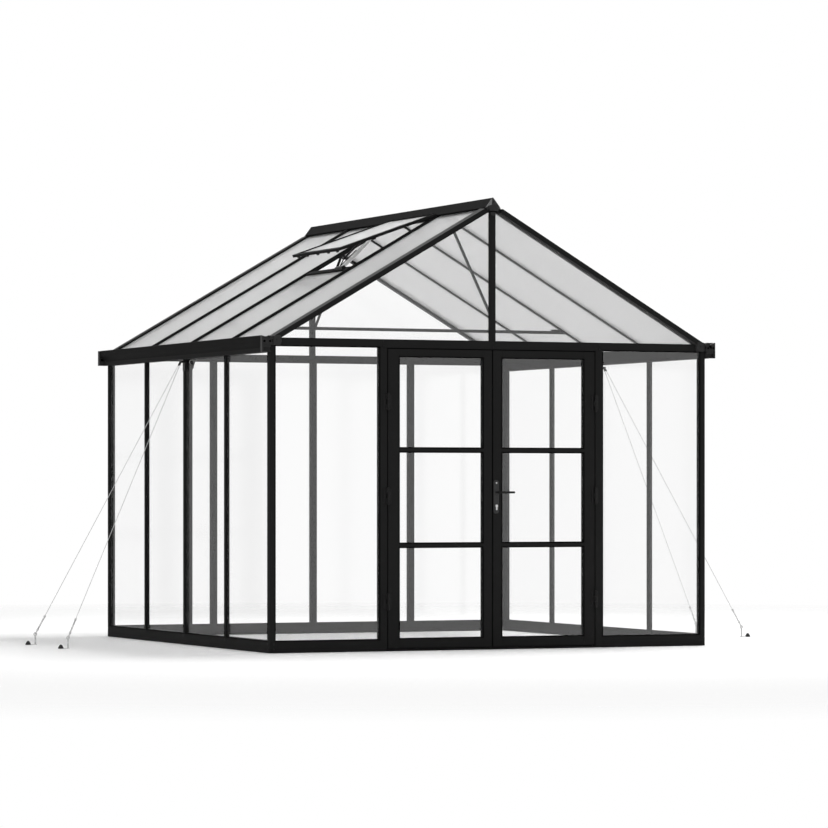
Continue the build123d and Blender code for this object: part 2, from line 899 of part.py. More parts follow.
# One file for each named piece
pieces = {
    "front_base": front_base,
    "back_base": back_base,
    "side_bases": side_bases,
    "door_threshold": door_threshold,
    "corner_posts": corner_posts,
    "left_wall_posts": left_wall_posts,
    "right_wall_posts": right_wall_posts,
    "knee_braces": knee_braces,
    "back_wall_posts": back_wall_posts,
    "door_jambs": door_jambs,
    "door_stops": door_stops,
    "tie_beams": tie_beams,
    "eave_beams": eave_beams,
    "gutters": gutters,
    "gutter_end_caps": gutter_end_caps,
    "left_rafters": left_rafters,
    "right_rafters": right_rafters,
    "ridge_beam": ridge_beam,
    "ridge_cap": ridge_cap,
    "ridge_end_caps": ridge_end_caps,
    "king_posts": king_posts,
    "ridge_braces": ridge_braces,
    "collar_tie": collar_tie,
    "left_wall_panels": left_wall_panels,
    "right_wall_panels": right_wall_panels,
    "back_wall_panels": back_wall_panels,
    "front_wall_panels": front_wall_panels,
    "gable_panels": gable_panels,
    "left_roof_panels": left_roof_panels,
    "right_roof_panels": right_roof_panels,
    "vent_crossbar": vent_crossbar,
    "vent_sash_sides": vent_sash_sides,
    "vent_sash_rails": vent_sash_rails,
    "vent_pane": vent_pane,
    "vent_opener": vent_opener,
    "hinge_pins": hinge_pins,
    "stay_brackets": stay_brackets,
    "stay_cables": stay_cables,
    "turnbuckles": turnbuckles,
    "ground_anchors": ground_anchors,
    "left_door_stiles": left_door_stiles,
    "left_door_rails": left_door_rails,
    "left_door_panes": left_door_panes,
    "left_hinge_sleeves": left_hinge_sleeves,
    "right_door_stiles": right_door_stiles,
    "right_door_rails": right_door_rails,
    "right_door_panes": right_door_panes,
    "right_hinge_sleeves": right_hinge_sleeves,
    "handle_plates": handle_plates,
    "handle_lever": handle_lever,
}
for name, piece in pieces.items():
    piece.part.label = name
    export_step(piece.part, f"parts/{name}.step")
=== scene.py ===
# %% [markdown]
# # A greenhouse of clear sheet in a black bar frame
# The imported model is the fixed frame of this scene: every bar, sheet and hinge is in place
# already, in metres. This script dresses it with finishes, softened edges and small fittings.
# The box of the bare model is kept now, to be set against the dressed one at the end.

# %% Load the frame
import json
import math

import bmesh
import bpy
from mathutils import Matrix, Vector


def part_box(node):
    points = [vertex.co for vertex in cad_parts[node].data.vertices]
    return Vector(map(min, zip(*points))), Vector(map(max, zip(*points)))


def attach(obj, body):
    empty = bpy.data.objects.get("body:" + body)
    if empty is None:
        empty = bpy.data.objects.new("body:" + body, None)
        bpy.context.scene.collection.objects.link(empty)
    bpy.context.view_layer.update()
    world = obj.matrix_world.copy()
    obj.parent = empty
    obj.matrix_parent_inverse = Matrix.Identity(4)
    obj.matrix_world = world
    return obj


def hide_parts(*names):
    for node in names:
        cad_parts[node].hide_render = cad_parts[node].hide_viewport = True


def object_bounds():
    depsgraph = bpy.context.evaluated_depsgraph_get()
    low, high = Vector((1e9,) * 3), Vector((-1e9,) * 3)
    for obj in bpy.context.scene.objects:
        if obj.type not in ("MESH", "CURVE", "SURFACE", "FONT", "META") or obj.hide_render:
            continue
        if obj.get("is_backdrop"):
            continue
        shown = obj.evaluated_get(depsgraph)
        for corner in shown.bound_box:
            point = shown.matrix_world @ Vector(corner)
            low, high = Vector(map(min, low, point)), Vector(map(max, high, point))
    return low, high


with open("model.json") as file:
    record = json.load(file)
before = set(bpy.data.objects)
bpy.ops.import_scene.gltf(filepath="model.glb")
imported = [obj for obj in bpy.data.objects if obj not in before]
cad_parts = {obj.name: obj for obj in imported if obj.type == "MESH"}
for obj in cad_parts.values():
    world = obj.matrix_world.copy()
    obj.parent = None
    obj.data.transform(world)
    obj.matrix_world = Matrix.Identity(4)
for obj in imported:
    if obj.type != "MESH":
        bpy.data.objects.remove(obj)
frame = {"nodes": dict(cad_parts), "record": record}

plain_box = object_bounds()
nodes = frame["nodes"]
scene = bpy.context.scene
print("nodes", len(nodes), "box", [[round(v, 3) for v in corner] for corner in plain_box])

# %% [markdown]
# ## Camera
# The picture was taken from far away with a long lens, at about waist height and from the left
# of the doors. A level camera keeps the posts upright, and a small upward shift of the
# lens, as on a view camera, puts the building in the middle of the frame.

# %% Camera
lens = bpy.data.cameras.new("camera")
lens.sensor_width = 36
lens.lens = 169.97
lens.shift_y = 0.0898
lens.clip_end = 200
camera = bpy.data.objects.new("camera", lens)
camera.location = (-10.279, -23.720, 1.007)
camera.rotation_euler = (math.radians(90), 0, math.radians(-23.673))
scene.collection.objects.link(camera)
scene.camera = camera
scene.view_settings.view_transform = "Standard"
print("camera", [round(v, 2) for v in camera.location])

# %% [markdown]
# ## Shader sums
# A finish is a graph of nodes, and long graphs are hard to read when each link is a line of code.
# One small class wraps a socket, so that 1 - mask or 0.4 + 0.1 * grain reads as a sum and adds
# its own Math nodes. Any other node comes from one method: its settings first, then its sockets.


# %% Shader sums
class Wire:
    """A socket of a node tree; sums with it add Math nodes to the tree."""

    def __init__(self, tree, socket=None):
        self.tree = tree
        self.socket = socket

    def add(self, kind, settings=None, sockets=None):
        """Add a node, set it up, then fill its sockets with values or links."""
        node = self.tree.nodes.new(kind)
        for name, value in (settings or {}).items():
            setattr(node, name, value)
        for name, value in (sockets or {}).items():
            if isinstance(value, Wire):
                self.tree.links.new(value.socket, node.inputs[name])
            else:
                node.inputs[name].default_value = value
        return Wire(self.tree, node.outputs[0] if node.outputs else None)

    def __getitem__(self, name):
        return Wire(self.tree, self.socket.node.outputs[name])

    def sum(self, operation, first, second):
        return self.add("ShaderNodeMath", {"operation": operation}, {0: first, 1: second})

    def __add__(self, other):
        return self.sum("ADD", self, other)

    def __radd__(self, other):
        return self.sum("ADD", other, self)

    def __sub__(self, other):
        return self.sum("SUBTRACT", self, other)

    def __rsub__(self, other):
        return self.sum("SUBTRACT", other, self)

    def __mul__(self, other):
        return self.sum("MULTIPLY", self, other)

    def __rmul__(self, other):
        return self.sum("MULTIPLY", other, self)

    def mix(self, share, first, second):
        """A colour between two, by a share from 0 to 1."""
        return self.add("ShaderNodeMix", {"data_type": "RGBA"}, {0: share, 6: first, 7: second})[2]


def new_finish(name):
    """An empty material, a wire to add its nodes with, and the object's own coordinates."""
    material = bpy.data.materials.new(name)
    material.use_nodes = True
    material.node_tree.nodes.clear()
    shade = Wire(material.node_tree)
    return material, shade, shade.add("ShaderNodeTexCoord")["Object"]


def grey(level):
    """A neutral colour."""
    return (level, level, level, 1.0)


print("shader sums ready")

# %% [markdown]
# ## Studio
# Product pictures of black frames on white are lit by large soft boxes, so that the bars stay
# black and only their edges shine. The world is white where a lens, a mirror or a pane looks at
# it, and dimmer as a lamp. One wide soft box overhead, a little to the right, makes the shadow,
# and a small one on the left draws a glint on the faceted mouldings.

# %% Studio
AMBIENT = 0.56
studio = bpy.data.worlds.new("studio")
scene.world = studio
studio.use_nodes = True
studio.node_tree.nodes.clear()
sky = Wire(studio.node_tree)
ray = sky.add("ShaderNodeLightPath")
seen = ray.sum("MAXIMUM", ray["Is Camera Ray"], ray["Is Glossy Ray"])
seen = seen.sum("MAXIMUM", seen, ray["Is Transmission Ray"])
backdrop = sky.add(
    "ShaderNodeBackground",
    sockets={"Color": grey(1.0), "Strength": AMBIENT + (1 - AMBIENT) * seen},
)
sky.add("ShaderNodeOutputWorld", sockets={"Surface": backdrop})


def soft_box(name, place, aim, size, power):
    """A square lamp that faces a point."""
    lamp = bpy.data.lights.new(name, "AREA")
    lamp.size = size
    lamp.energy = power
    holder = bpy.data.objects.new(name, lamp)
    holder.location = place
    holder.rotation_euler = (Vector(aim) - Vector(place)).to_track_quat("-Z", "Y").to_euler()
    scene.collection.objects.link(holder)


soft_box("top_box", place=(2.8, 0.4, 9.0), aim=(0, 0, 0.5), size=4.0, power=690)
soft_box("edge_box", place=(-5.3, -2.9, 10.0), aim=(0, -1.5, 2.8), size=0.9, power=110)
print("ambient", AMBIENT)

# %% [markdown]
# ## Floor
# The floor is a pale disc whose edge fades out, so that no line shows where it ends against the
# white backdrop. It takes the soft shadow of the building and is not part of it. It lies a hair
# below the base rails, so that the two never share a plane.

# %% Floor
FLOOR_RADIUS, FLOOR_DROP, FLOOR_TONE = 12.0, 0.002, 0.98
FADE_START, FADE_END = 4.5, 9.0
floor_mesh = bmesh.new()
bmesh.ops.create_circle(floor_mesh, cap_ends=True, segments=96, radius=FLOOR_RADIUS)
floor_data = bpy.data.meshes.new("floor")
floor_mesh.to_mesh(floor_data)
floor_mesh.free()
floor = bpy.data.objects.new("floor", floor_data)
floor.location.z = -FLOOR_DROP
scene.collection.objects.link(floor)
floor_finish, shade, where = new_finish("floor_finish")
reach = shade.add("ShaderNodeVectorMath", {"operation": "LENGTH"}, {0: where})["Value"]
fade = shade.add("ShaderNodeMapRange", {}, {0: reach, 1: FADE_START, 2: FADE_END})
matt = shade.add("ShaderNodeBsdfDiffuse", sockets={"Color": grey(FLOOR_TONE)})
clear = shade.add("ShaderNodeBsdfTransparent")
faded = shade.add("ShaderNodeMixShader", sockets={0: fade, 1: matt, 2: clear})
shade.add("ShaderNodeOutputMaterial", sockets={"Surface": faded})
floor_data.materials.append(floor_finish)
floor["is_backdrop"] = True
print("floor radius", FLOOR_RADIUS, "m")

# %% [markdown]
# ## Coats and mouldings
# The bars are aluminium with a satin powder coat: nearly black, with the faint orange peel that
# powder leaves when it melts. Moulded plastic, rubber and the coated fittings differ from it only
# in tone, gloss and size of grain, so one function makes them all. The grain feeds roughness and
# a shallow bump, and a slow cloud drifts between the two tones of the coat.

# %% Coats and mouldings
CLOUD_SCALE, SCUFF_SCALE = 1.7, 14.0
PEEL_SPREAD, SCUFF_SPREAD, PEEL_STRENGTH = 0.1, 0.08, 0.25


def noise(where, scale, detail):
    """A noise over the coordinates of a wire, with scale grains to the metre."""
    return where.add("ShaderNodeTexNoise", {}, {"Vector": where, "Scale": scale, "Detail": detail})


def coat(name, dark, light, grain, roughness, gloss, depth):
    """A dark coat: two tones, grains to the metre, mean roughness, specular level, bump depth."""
    material, shade, where = new_finish(name)
    cloud = noise(where, CLOUD_SCALE, 4.0)
    peel = noise(where, grain, 2.0)
    scuff = noise(where, SCUFF_SCALE, 5.0)
    normal = shade.add(
        "ShaderNodeBump", {}, {"Strength": PEEL_STRENGTH, "Distance": depth, "Height": peel}
    )
    smoothest = roughness - (PEEL_SPREAD + SCUFF_SPREAD) / 2
    body = shade.add(
        "ShaderNodeBsdfPrincipled",
        sockets={
            "Base Color": shade.mix(cloud, grey(dark), grey(light)),
            "Roughness": smoothest + PEEL_SPREAD * peel + SCUFF_SPREAD * scuff,
            "Specular IOR Level": gloss,
            "Normal": normal,
        },
    )
    shade.add("ShaderNodeOutputMaterial", sockets={"Surface": body})
    return material


# Dark tone, light tone, grains to the metre, roughness, specular level, bump depth
powder_black = coat("powder_black", 0.0165, 0.021, 700, 0.5, 0.006, 0.0003)
# A darker copy of the bar coat for the ridge cap and gutters: painted shade, which holds them down where
# they face the overhead lamp
painted_shade_black = coat("painted_shade_black", 0.0095, 0.0125, 700, 0.5, 0.006, 0.0003)
moulded_black = coat("moulded_black", 0.020, 0.027, 420, 0.22, 0.15, 0.0002)
moulded_matt = coat("moulded_matt", 0.029, 0.039, 420, 0.4, 0.05, 0.0002)
fitting_black = coat("fitting_black", 0.007, 0.012, 900, 0.34, 0.14, 0.0002)
# The handle plates' lighter grey is partly their own tone and partly a painted highlight on their rims
handle_grey_and_highlight = coat("handle_grey_and_highlight", 0.030, 0.040, 900, 0.3, 0.2, 0.0002)
seal_black = coat("seal_black", 0.0014, 0.0022, 300, 0.86, 0.03, 0.0004)
# A pale grey for the verge strips: a painted highlight for the light their narrow faces catch
painted_highlight_grey = coat("painted_highlight_grey", 0.052, 0.064, 420, 0.5, 0.02, 0.0003)
coats = (powder_black, painted_shade_black, moulded_black, moulded_matt, fitting_black, handle_grey_and_highlight,
         seal_black, painted_highlight_grey)
print("coats", [finish.name for finish in coats])

# %% [markdown]
# ## Metals
# The stays are galvanised steel, which shows patches of zinc crystals. The vent opener, the lock
# and the one bright screw of the handle are plain alloy with a fine drawn grain. Cells of a Voronoi
# texture make the crystals, and a noise stretched along one axis makes the drawn lines.

# %% Metals
DRAWN_SCALE = (900.0, 900.0, 30.0)
METAL_SPREAD = 0.12


def metal(name, dark, light, roughness, crystals):
    """Bare metal; crystals is the number of zinc patches to the metre, or 0 for a drawn grain."""
    material, shade, where = new_finish(name)
    if crystals:
        patch = shade.add("ShaderNodeTexVoronoi", {}, {"Vector": where, "Scale": crystals})
        tone = shade.add("ShaderNodeSeparateColor", sockets={"Color": patch["Color"]})
    else:
        along = shade.add("ShaderNodeMapping", {}, {"Vector": where, "Scale": DRAWN_SCALE})
        tone = noise(along, 1.0, 3.0)
    body = shade.add(
        "ShaderNodeBsdfPrincipled",
        sockets={
            "Base Color": shade.mix(tone, grey(dark), grey(light)),
            "Metallic": 1.0,
            "Roughness": roughness - METAL_SPREAD / 2 + METAL_SPREAD * tone,
        },
    )
    shade.add("ShaderNodeOutputMaterial", sockets={"Surface": body})
    return material


zinc = metal("zinc", 0.40, 0.62, 0.42, 160)
drawn_alloy = metal("drawn_alloy", 0.52, 0.66, 0.34, 0)
print("metals", zinc.name, drawn_alloy.name)

# %% [markdown]
# ## Clear sheet
# The walls and doors are clear sheet. Each face mirrors a little of the white studio, so black
# bars look grey behind it, and the mirror grows stronger and duller at a slant. Real refraction
# would be slow and noisy through so many panes, so a thin mirror with an alpha stands for it.

# %% Clear sheet
SLANT_START, SLANT_END = 0.038, 0.128
MIRROR_AHEAD, MIRROR_ASLANT = 0.85, 0.61
FILM_ROUGHNESS, FILM_SPREAD = 0.07, 0.05
VEIL, VEIL_GAIN = 0.0454, 0.192


def clear_film(name, index):
    """Clear sheet with the refractive index of its plastic: a thin mirror over open space."""
    material, shade, where = new_finish(name)
    wave = noise(where, 1.3, 2.0)
    inside = shade.add("ShaderNodeNewGeometry")["Backfacing"]
    mirror = shade.add("ShaderNodeFresnel", {}, {"IOR": index - (index - 1 / index) * inside})
    slant = shade.add("ShaderNodeMapRange", {}, {0: mirror, 1: SLANT_START, 2: SLANT_END})
    body = shade.add(
        "ShaderNodeBsdfPrincipled",
        sockets={
            "Base Color": shade.mix(slant, grey(MIRROR_AHEAD), grey(MIRROR_ASLANT)),
            "Metallic": 1.0,
            "Roughness": FILM_ROUGHNESS + FILM_SPREAD * wave,
            "Alpha": VEIL + VEIL_GAIN * mirror,
        },
    )
    shade.add("ShaderNodeOutputMaterial", sockets={"Surface": body})
    return material


clear_sheet = clear_film("clear_sheet", 1.48)
print("sheet", clear_sheet.name)

# %% [markdown]
# ## Roof sheet
# The roof is twin-wall sheet: its thin ribs blur what is behind and pass light from above. They
# could be modelled one by one, but they are finer than a pixel, so rough transmission and a
# translucent share give the same haze. The sash of the vent has a slightly paler sheet.

# %% Roof sheet
HAZE_SPREAD, RIB_SPREAD = 0.04, 0.06
PASSED_SHARE, SHEET_INDEX, GLOW_SHARE = 0.66, 1.05, 0.13
WAVE_RATE = 20


def ribbed_sheet(name, tint, roughness, bands):
    """Hazy twin-wall sheet; bands counts the light and dark bands to the metre along the roof."""
    material, shade, where = new_finish(name)
    haze = noise(where, 2.1, 3.0)
    lines = shade.add(
        "ShaderNodeTexWave",
        {"wave_type": "BANDS", "bands_direction": "Y"},
        {"Vector": where, "Scale": bands / WAVE_RATE * math.pi, "Distortion": 0.0},
    )
    dim, pale = grey(tint - HAZE_SPREAD / 2), grey(tint + HAZE_SPREAD / 2)
    body = shade.add(
        "ShaderNodeBsdfPrincipled",
        sockets={
            "Base Color": shade.mix(haze, dim, pale),
            "Roughness": roughness - RIB_SPREAD / 2 + RIB_SPREAD * lines,
            "Transmission Weight": PASSED_SHARE,
            "IOR": SHEET_INDEX,
        },
    )
    glow = shade.add("ShaderNodeBsdfTranslucent", sockets={"Color": grey(tint)})
    both = shade.add("ShaderNodeMixShader", sockets={0: GLOW_SHARE, 1: body, 2: glow})
    shade.add("ShaderNodeOutputMaterial", sockets={"Surface": both})
    return material


roof_sheet = ribbed_sheet("roof_sheet", 0.67, 0.24, 90)
vent_sheet = ribbed_sheet("vent_sheet", 0.72, 0.22, 90)
print("sheets", roof_sheet.name, vent_sheet.name)

# %% [markdown]
# ## Finishes of the carried-over pieces
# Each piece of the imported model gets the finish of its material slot, or its own where it looks
# different. Extruded bars have small rounded edges that catch a thread of light, so the bars get a
# bevel of a millimetre or two. The model comes as split triangles, so a weld goes first and the
# bevel finds the true edges.

# %% Finishes of the carried-over pieces
SLOT_FINISH = {
    "black_frame": powder_black,
    "clear_sheet": clear_sheet,
    "roof_sheet": roof_sheet,
    "black_plastic": moulded_black,
    "black_fittings": fitting_black,
    "opener_alloy": drawn_alloy,
    "stay_steel": zinc,
}
# The ridge cap and gutters take the darker copy of the bar coat, which is painted shade.
NODE_FINISH = {"vent_pane": vent_sheet, "ridge_cap": painted_shade_black, "gutters": painted_shade_black,
               "stay_brackets": fitting_black}
EDGE = {"black_frame": 0.0016, "black_fittings": 0.0008, "stay_steel": 0.0006}
EDGE_ANGLE, WELD_GAP = 40, 0.00002


def soften(thing, width, angle):
    """Round the edges that turn by more than an angle in degrees."""
    edge = thing.modifiers.new("soft_edges", "BEVEL")
    edge.width = width
    edge.segments = 2
    edge.limit_method = "ANGLE"
    edge.angle_limit = math.radians(angle)


for row in frame["record"]["subparts"]:
    solid = nodes[row["node"]]
    slot = row["material_slot"]
    solid.data.materials.clear()
    solid.data.materials.append(NODE_FINISH.get(row["node"], SLOT_FINISH[slot]))
    if slot in EDGE:
        weld = solid.modifiers.new("weld", "WELD")
        weld.merge_threshold = WELD_GAP
        soften(solid, EDGE[slot], EDGE_ANGLE)
        even = solid.modifiers.new("even_shading", "WEIGHTED_NORMAL")
        even.weight = 100

# %% [markdown]
# ## A small workshop
# The fittings are made of three kinds of form: straight bars of one section, turned pieces such as
# screws and rods, and beads or plates that follow an outline. All are rings of points joined by
# faces, so one function skins the rings and the others only work out where the points go.

# %% A small workshop
SIDES = (-1, 1)
CORNERS = tuple((x, y) for x in SIDES for y in SIDES)


def skin(mesh, rings, wrap=False):
    """Join rings of points by faces; both ends get caps, or wrap joins them to each other."""
    rows = [[mesh.verts.new(point) for point in ring] for ring in rings]
    pairs = list(zip(rows, rows[1:]))
    if wrap:
        pairs.append((rows[-1], rows[0]))
    else:
        mesh.faces.new(list(reversed(rows[0])))
        mesh.faces.new(rows[-1])
    for low, high in pairs:
        for here in range(len(low)):
            there = (here + 1) % len(low)
            mesh.faces.new((low[here], low[there], high[there], high[here]))


def bar(mesh, section, start, end, up=(0, 0, 1)):
    """A straight bar; its section's points are (sideways, upwards) from the line start to end."""
    start, end = Vector(start), Vector(end)
    along = (end - start).normalized()
    side = along.cross(Vector(up)).normalized()
    rise = side.cross(along)
    skin(mesh, [[at + side * u + rise * v for u, v in section] for at in (start, end)])


def circle(middle, first, second, radius, sides):
    """Points round a middle, in the plane of two directions."""
    turns = [2 * math.pi * step / sides for step in range(sides)]
    return [middle + (first * math.cos(turn) + second * math.sin(turn)) * radius for turn in turns]


def turned(mesh, steps, foot, axis, sides=14):
    """A turned piece; steps are (distance along the axis, radius)."""
    foot, axis = Vector(foot), Vector(axis).normalized()
    side = axis.orthogonal().normalized()
    other = axis.cross(side)
    skin(mesh, [circle(foot + axis * far, side, other, radius, sides) for far, radius in steps])


def pin(mesh, radius, length, foot, axis, sides):
    """A plain round pin."""
    turned(mesh, [(0, radius), (length, radius)], foot, axis, sides)


def grown(outline, by):
    """A convex outline with each edge moved outwards by the same distance."""
    points = [Vector(point) for point in outline]
    middle = sum(points, Vector((0, 0))) / len(points)
    result = []
    for here, point in enumerate(points):
        before = point - points[here - 1]
        after = points[(here + 1) % len(points)] - point
        outs = []
        for edge in (before, after):
            out = Vector((edge.y, -edge.x)).normalized()
            outs.append(out if out.dot(point - middle) > 0 else -out)
        result.append(point + (outs[0] + outs[1]) * by / (1 + outs[0].dot(outs[1])))
    return result


def bead(mesh, outline, steps, place):
    """A bead round an outline; steps are (outwards, proud), and place turns a point into 3-D."""
    skin(mesh, [[place(u, v, proud) for u, v in grown(outline, by)] for by, proud in steps], True)


def plate(mesh, outline, steps, place):
    """A plate of the outline with stepped or chamfered sides; steps as for a bead."""
    skin(mesh, [[place(u, v, proud) for u, v in grown(outline, by)] for by, proud in steps])


print("workshop ready")

# %% [markdown]
# ## From mesh to piece
# Every fitting ends the same way: its faces are turned outwards, it gets a finish, soft edges where
# a width is given, and it is told which body it rides on: the frame, unless a moving one is named.
# A fitting that takes the place of a plain piece of the imported model says so, and the plain one
# is not shown.

# %% From mesh to piece
SMOOTH_ANGLE, FITTING_ANGLE = 38, 35


def piece(name, mesh, finish, body="frame", smooth=True, edge=0.0, stands_for=()):
    """Turn a mesh under construction into a finished piece that rides on a body."""
    bmesh.ops.recalc_face_normals(mesh, faces=mesh.faces)
    data = bpy.data.meshes.new(name)
    mesh.to_mesh(data)
    mesh.free()
    data.materials.append(finish)
    if smooth:
        data.shade_smooth()
        data.set_sharp_from_angle(angle=math.radians(SMOOTH_ANGLE))
    thing = bpy.data.objects.new(name, data)
    scene.collection.objects.link(thing)
    if edge:
        soften(thing, edge, FITTING_ANGLE)
    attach(thing, body)
    if stands_for:
        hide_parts(*stands_for)
    print(name, len(data.polygons), "faces")


print("pieces can be made")

# %% [markdown]
# ## Glazing gaskets
# Each sheet is held by a thin black rubber gasket that shows as a dark line along the edges of
# the bars. The lines could be painted, but a real bead catches light as the eye moves. The bead
# lies on the bars, just outside each opening, and the openings run from bar to bar of equal bays.

# %% Glazing gaskets
GASKET = [(0.0, 0.0), (0.001, 0.0013), (0.006, 0.0013), (0.007, 0.0)]
OUTER = 1.5
BAY_LINES = (-1.48, -0.74, 0.0, 0.74, 1.48)
CORNER_HALF, POST_HALF = 0.020, 0.019
BASE_TOP, EAVE, TIE_FOOT = 0.075, 1.841, 1.877
FRONT_BAY = (0.772, 1.46)


def rectangle(u_low, u_high, v_low, v_high):
    return [(u_low, v_low), (u_high, v_low), (u_high, v_high), (u_low, v_high)]


def face(level, outward, flip=1):
    """Place points on an upright face at a level of y: across it, up it and proud of it."""
    return lambda u, v, proud: (flip * u, level + outward * proud, v)


def side_face(side):
    """Place points on the outer face of a side wall: along it, up it and proud of it."""
    return lambda u, v, proud: (side * (OUTER + proud), u, v)


on_front, on_back = face(-OUTER, -1), face(OUTER, 1)
mesh = bmesh.new()
for start, end in zip(BAY_LINES, BAY_LINES[1:]):
    low = start + (CORNER_HALF if start == BAY_LINES[0] else POST_HALF)
    high = end - (CORNER_HALF if end == BAY_LINES[-1] else POST_HALF)
    for side in SIDES:
        bead(mesh, rectangle(low, high, BASE_TOP, EAVE), GASKET, side_face(side))
    bead(mesh, rectangle(low, high, BASE_TOP, TIE_FOOT), GASKET, on_back)
for side in SIDES:
    bay = rectangle(*sorted(side * x for x in FRONT_BAY), BASE_TOP, TIE_FOOT)
    bead(mesh, bay, GASKET, on_front)
piece("glazing_gaskets", mesh, seal_black)

# %% [markdown]
# ## Caps of the inner rafters
# A rafter carries a capping strip that is screwed down over the edges of two sheets. It could be
# a box, but its thin flanges and raised middle give the fine lines along the roof. It is a long
# bar of one section, laid along the slope.

# %% Caps of the inner rafters
APEX, PITCH = 2.78803, math.radians(30)
CAP = [(-0.019, 0), (0.019, 0), (0.019, 0.001), (0.011, 0.001), (0.009, 0.0042),
       (-0.009, 0.0042), (-0.011, 0.001), (-0.019, 0.001)]
CAP_RUN = (0.053, 1.511)


def slope_z(x, lift=0.0):
    """Height of the plane that lies lift above the rafter tops."""
    return APEX - abs(x) * math.tan(PITCH) + lift / math.cos(PITCH)


def slope_up(side):
    """The direction square to a slope."""
    return (side * math.sin(PITCH), 0, math.cos(PITCH))


def slope_bar(mesh, section, side, y, run, lift=0.0):
    """A bar along a slope; run holds the distances of its ends from the building's middle."""
    ends = [(side * x, y, slope_z(x, lift)) for x in run]
    bar(mesh, section, *ends, slope_up(side))


mesh = bmesh.new()
for side in SIDES:
    for y in BAY_LINES[1:-1]:
        slope_bar(mesh, CAP, side, y, CAP_RUN)
piece("rafter_caps", mesh, powder_black, smooth=False, edge=0.0005)

# %% [markdown]
# ## Gable rafters
# The gable rafters show a dark face that stands 20 mm in front of the wall, with a strip above it
# and another below it. The strips are a pale grey, a painted highlight for the light on their
# narrow faces. From the left the upper strip shows, and on the other slope the lower one.
# All three are bars along the slope, so one loop lays them at both gables.

# %% Gable rafters
GABLE, VERGE_RUN = BAY_LINES[-1], (0.060, 1.505)
VERGE_TOP = [(-0.030, 0.0005), (0.036, 0.0005), (0.0385, 0.0032), (-0.030, 0.0085)]
VERGE_FOOT = [(-0.020, -0.0335), (0.0385, -0.0282), (0.036, -0.0255), (0.0205, -0.0255),
              (0.0205, -0.0321), (-0.020, -0.0321)]
VERGE_FACE = [(0.0365, -0.0265), (0.0395, -0.0279), (0.040, -0.027), (0.040, 0.003),
              (0.0395, 0.0037), (0.0365, 0.002)]
verge = bmesh.new()
faces = bmesh.new()
for side, y in CORNERS:
    for target, outline in ((verge, VERGE_TOP), (verge, VERGE_FOOT), (faces, VERGE_FACE)):
        # The section's first axis points to the building's outside at both gables.
        section = [(-side * y * u, v) for u, v in outline]
        slope_bar(target, section, side, y * GABLE, VERGE_RUN)
piece("verge_faces", faces, powder_black, smooth=False)
# The pale grey of the strips is a painted highlight.
piece("verge_strips", verge, painted_highlight_grey, smooth=False, edge=0.0004)

# %% [markdown]
# ## Seals of the rafter caps
# A rubber seal lies along both edges of each capping strip and keeps rain out of the joint. It is
# a low bar on the cap's flange, laid along the slope like the cap itself.

# %% Seals of the rafter caps
CAP_SEAL = [(-0.0025, 0), (0.0025, 0), (0.0018, 0.0018), (-0.0018, 0.0018)]
SEAL_OFFSET, CAP_FLANGE = 0.0165, 0.001
mesh = bmesh.new()
for side in SIDES:
    for y in BAY_LINES[1:-1]:
        for offset in (-SEAL_OFFSET, SEAL_OFFSET):
            slope_bar(mesh, CAP_SEAL, side, y + offset, CAP_RUN, CAP_FLANGE)
piece("rafter_seals", mesh, seal_black)

# %% [markdown]
# ## Ridge end caps
# A moulded cap closes each end of the ridge. It is hipped like a small roof: a low upright front,
# and above it three facets that lean back to the ridge and catch the light, with a screw in the
# middle one and a foot over the king post. Two outlines at two depths give the facets. The screws
# of the whole frame are collected in one mesh from here on.

# %% Ridge end caps
ridge_low, ridge_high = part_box("ridge_end_caps")
top, foot = ridge_high.z, ridge_low.z
HIP_BACK = [(0.003, top), (0.054, slope_z(0.054) + 0.004), (0.032, foot + 0.004)]
HIP_FRONT = [(0.016, top - 0.046), (0.035, top - 0.052), (0.030, foot + 0.005)]
HIP_RINGS = ((HIP_BACK, 0), (HIP_BACK, 0.003), (HIP_FRONT, 0.022))
HIP_FOOT = rectangle(-0.018, 0.018, foot - 0.022, foot)
FOOT_STEPS = [(0, 0), (0, 0.009), (-0.002, 0.011)]
HIP_SCREW_X, HIP_SCREW_Y, HIP_SCREW_Z, HIP_LEAN = -0.002, 1.5125, top - 0.025, 0.42
SCREW = [(0.0, 1.0), (0.35, 1.0), (0.75, 0.82), (0.9, 0.5), (0.9, 0.42), (0.45, 0.38)]
FRAME_SCREW = (0.0055, 0.004)
screws = bmesh.new()


def screw(mesh, place, axis, size):
    """A round-headed screw with a driver socket; size is (radius, height) of its head."""
    radius, height = size
    turned(mesh, [(far * height, share * radius) for far, share in SCREW], place, axis, 12)


mesh = bmesh.new()
for place, y in ((on_front, -1), (on_back, 1)):
    rings = []
    for half, proud in HIP_RINGS:
        outline = half + [(-u, v) for u, v in reversed(half)]
        rings.append([place(u, v, proud) for u, v in outline])
    skin(mesh, rings)
    plate(mesh, HIP_FOOT, FOOT_STEPS, place)
    screw(screws, (HIP_SCREW_X, y * HIP_SCREW_Y, HIP_SCREW_Z), (0, y, HIP_LEAN), FRAME_SCREW)
piece("ridge_end_mouldings", mesh, moulded_black, smooth=False,
      edge=0.0008, stands_for=["ridge_end_caps"])
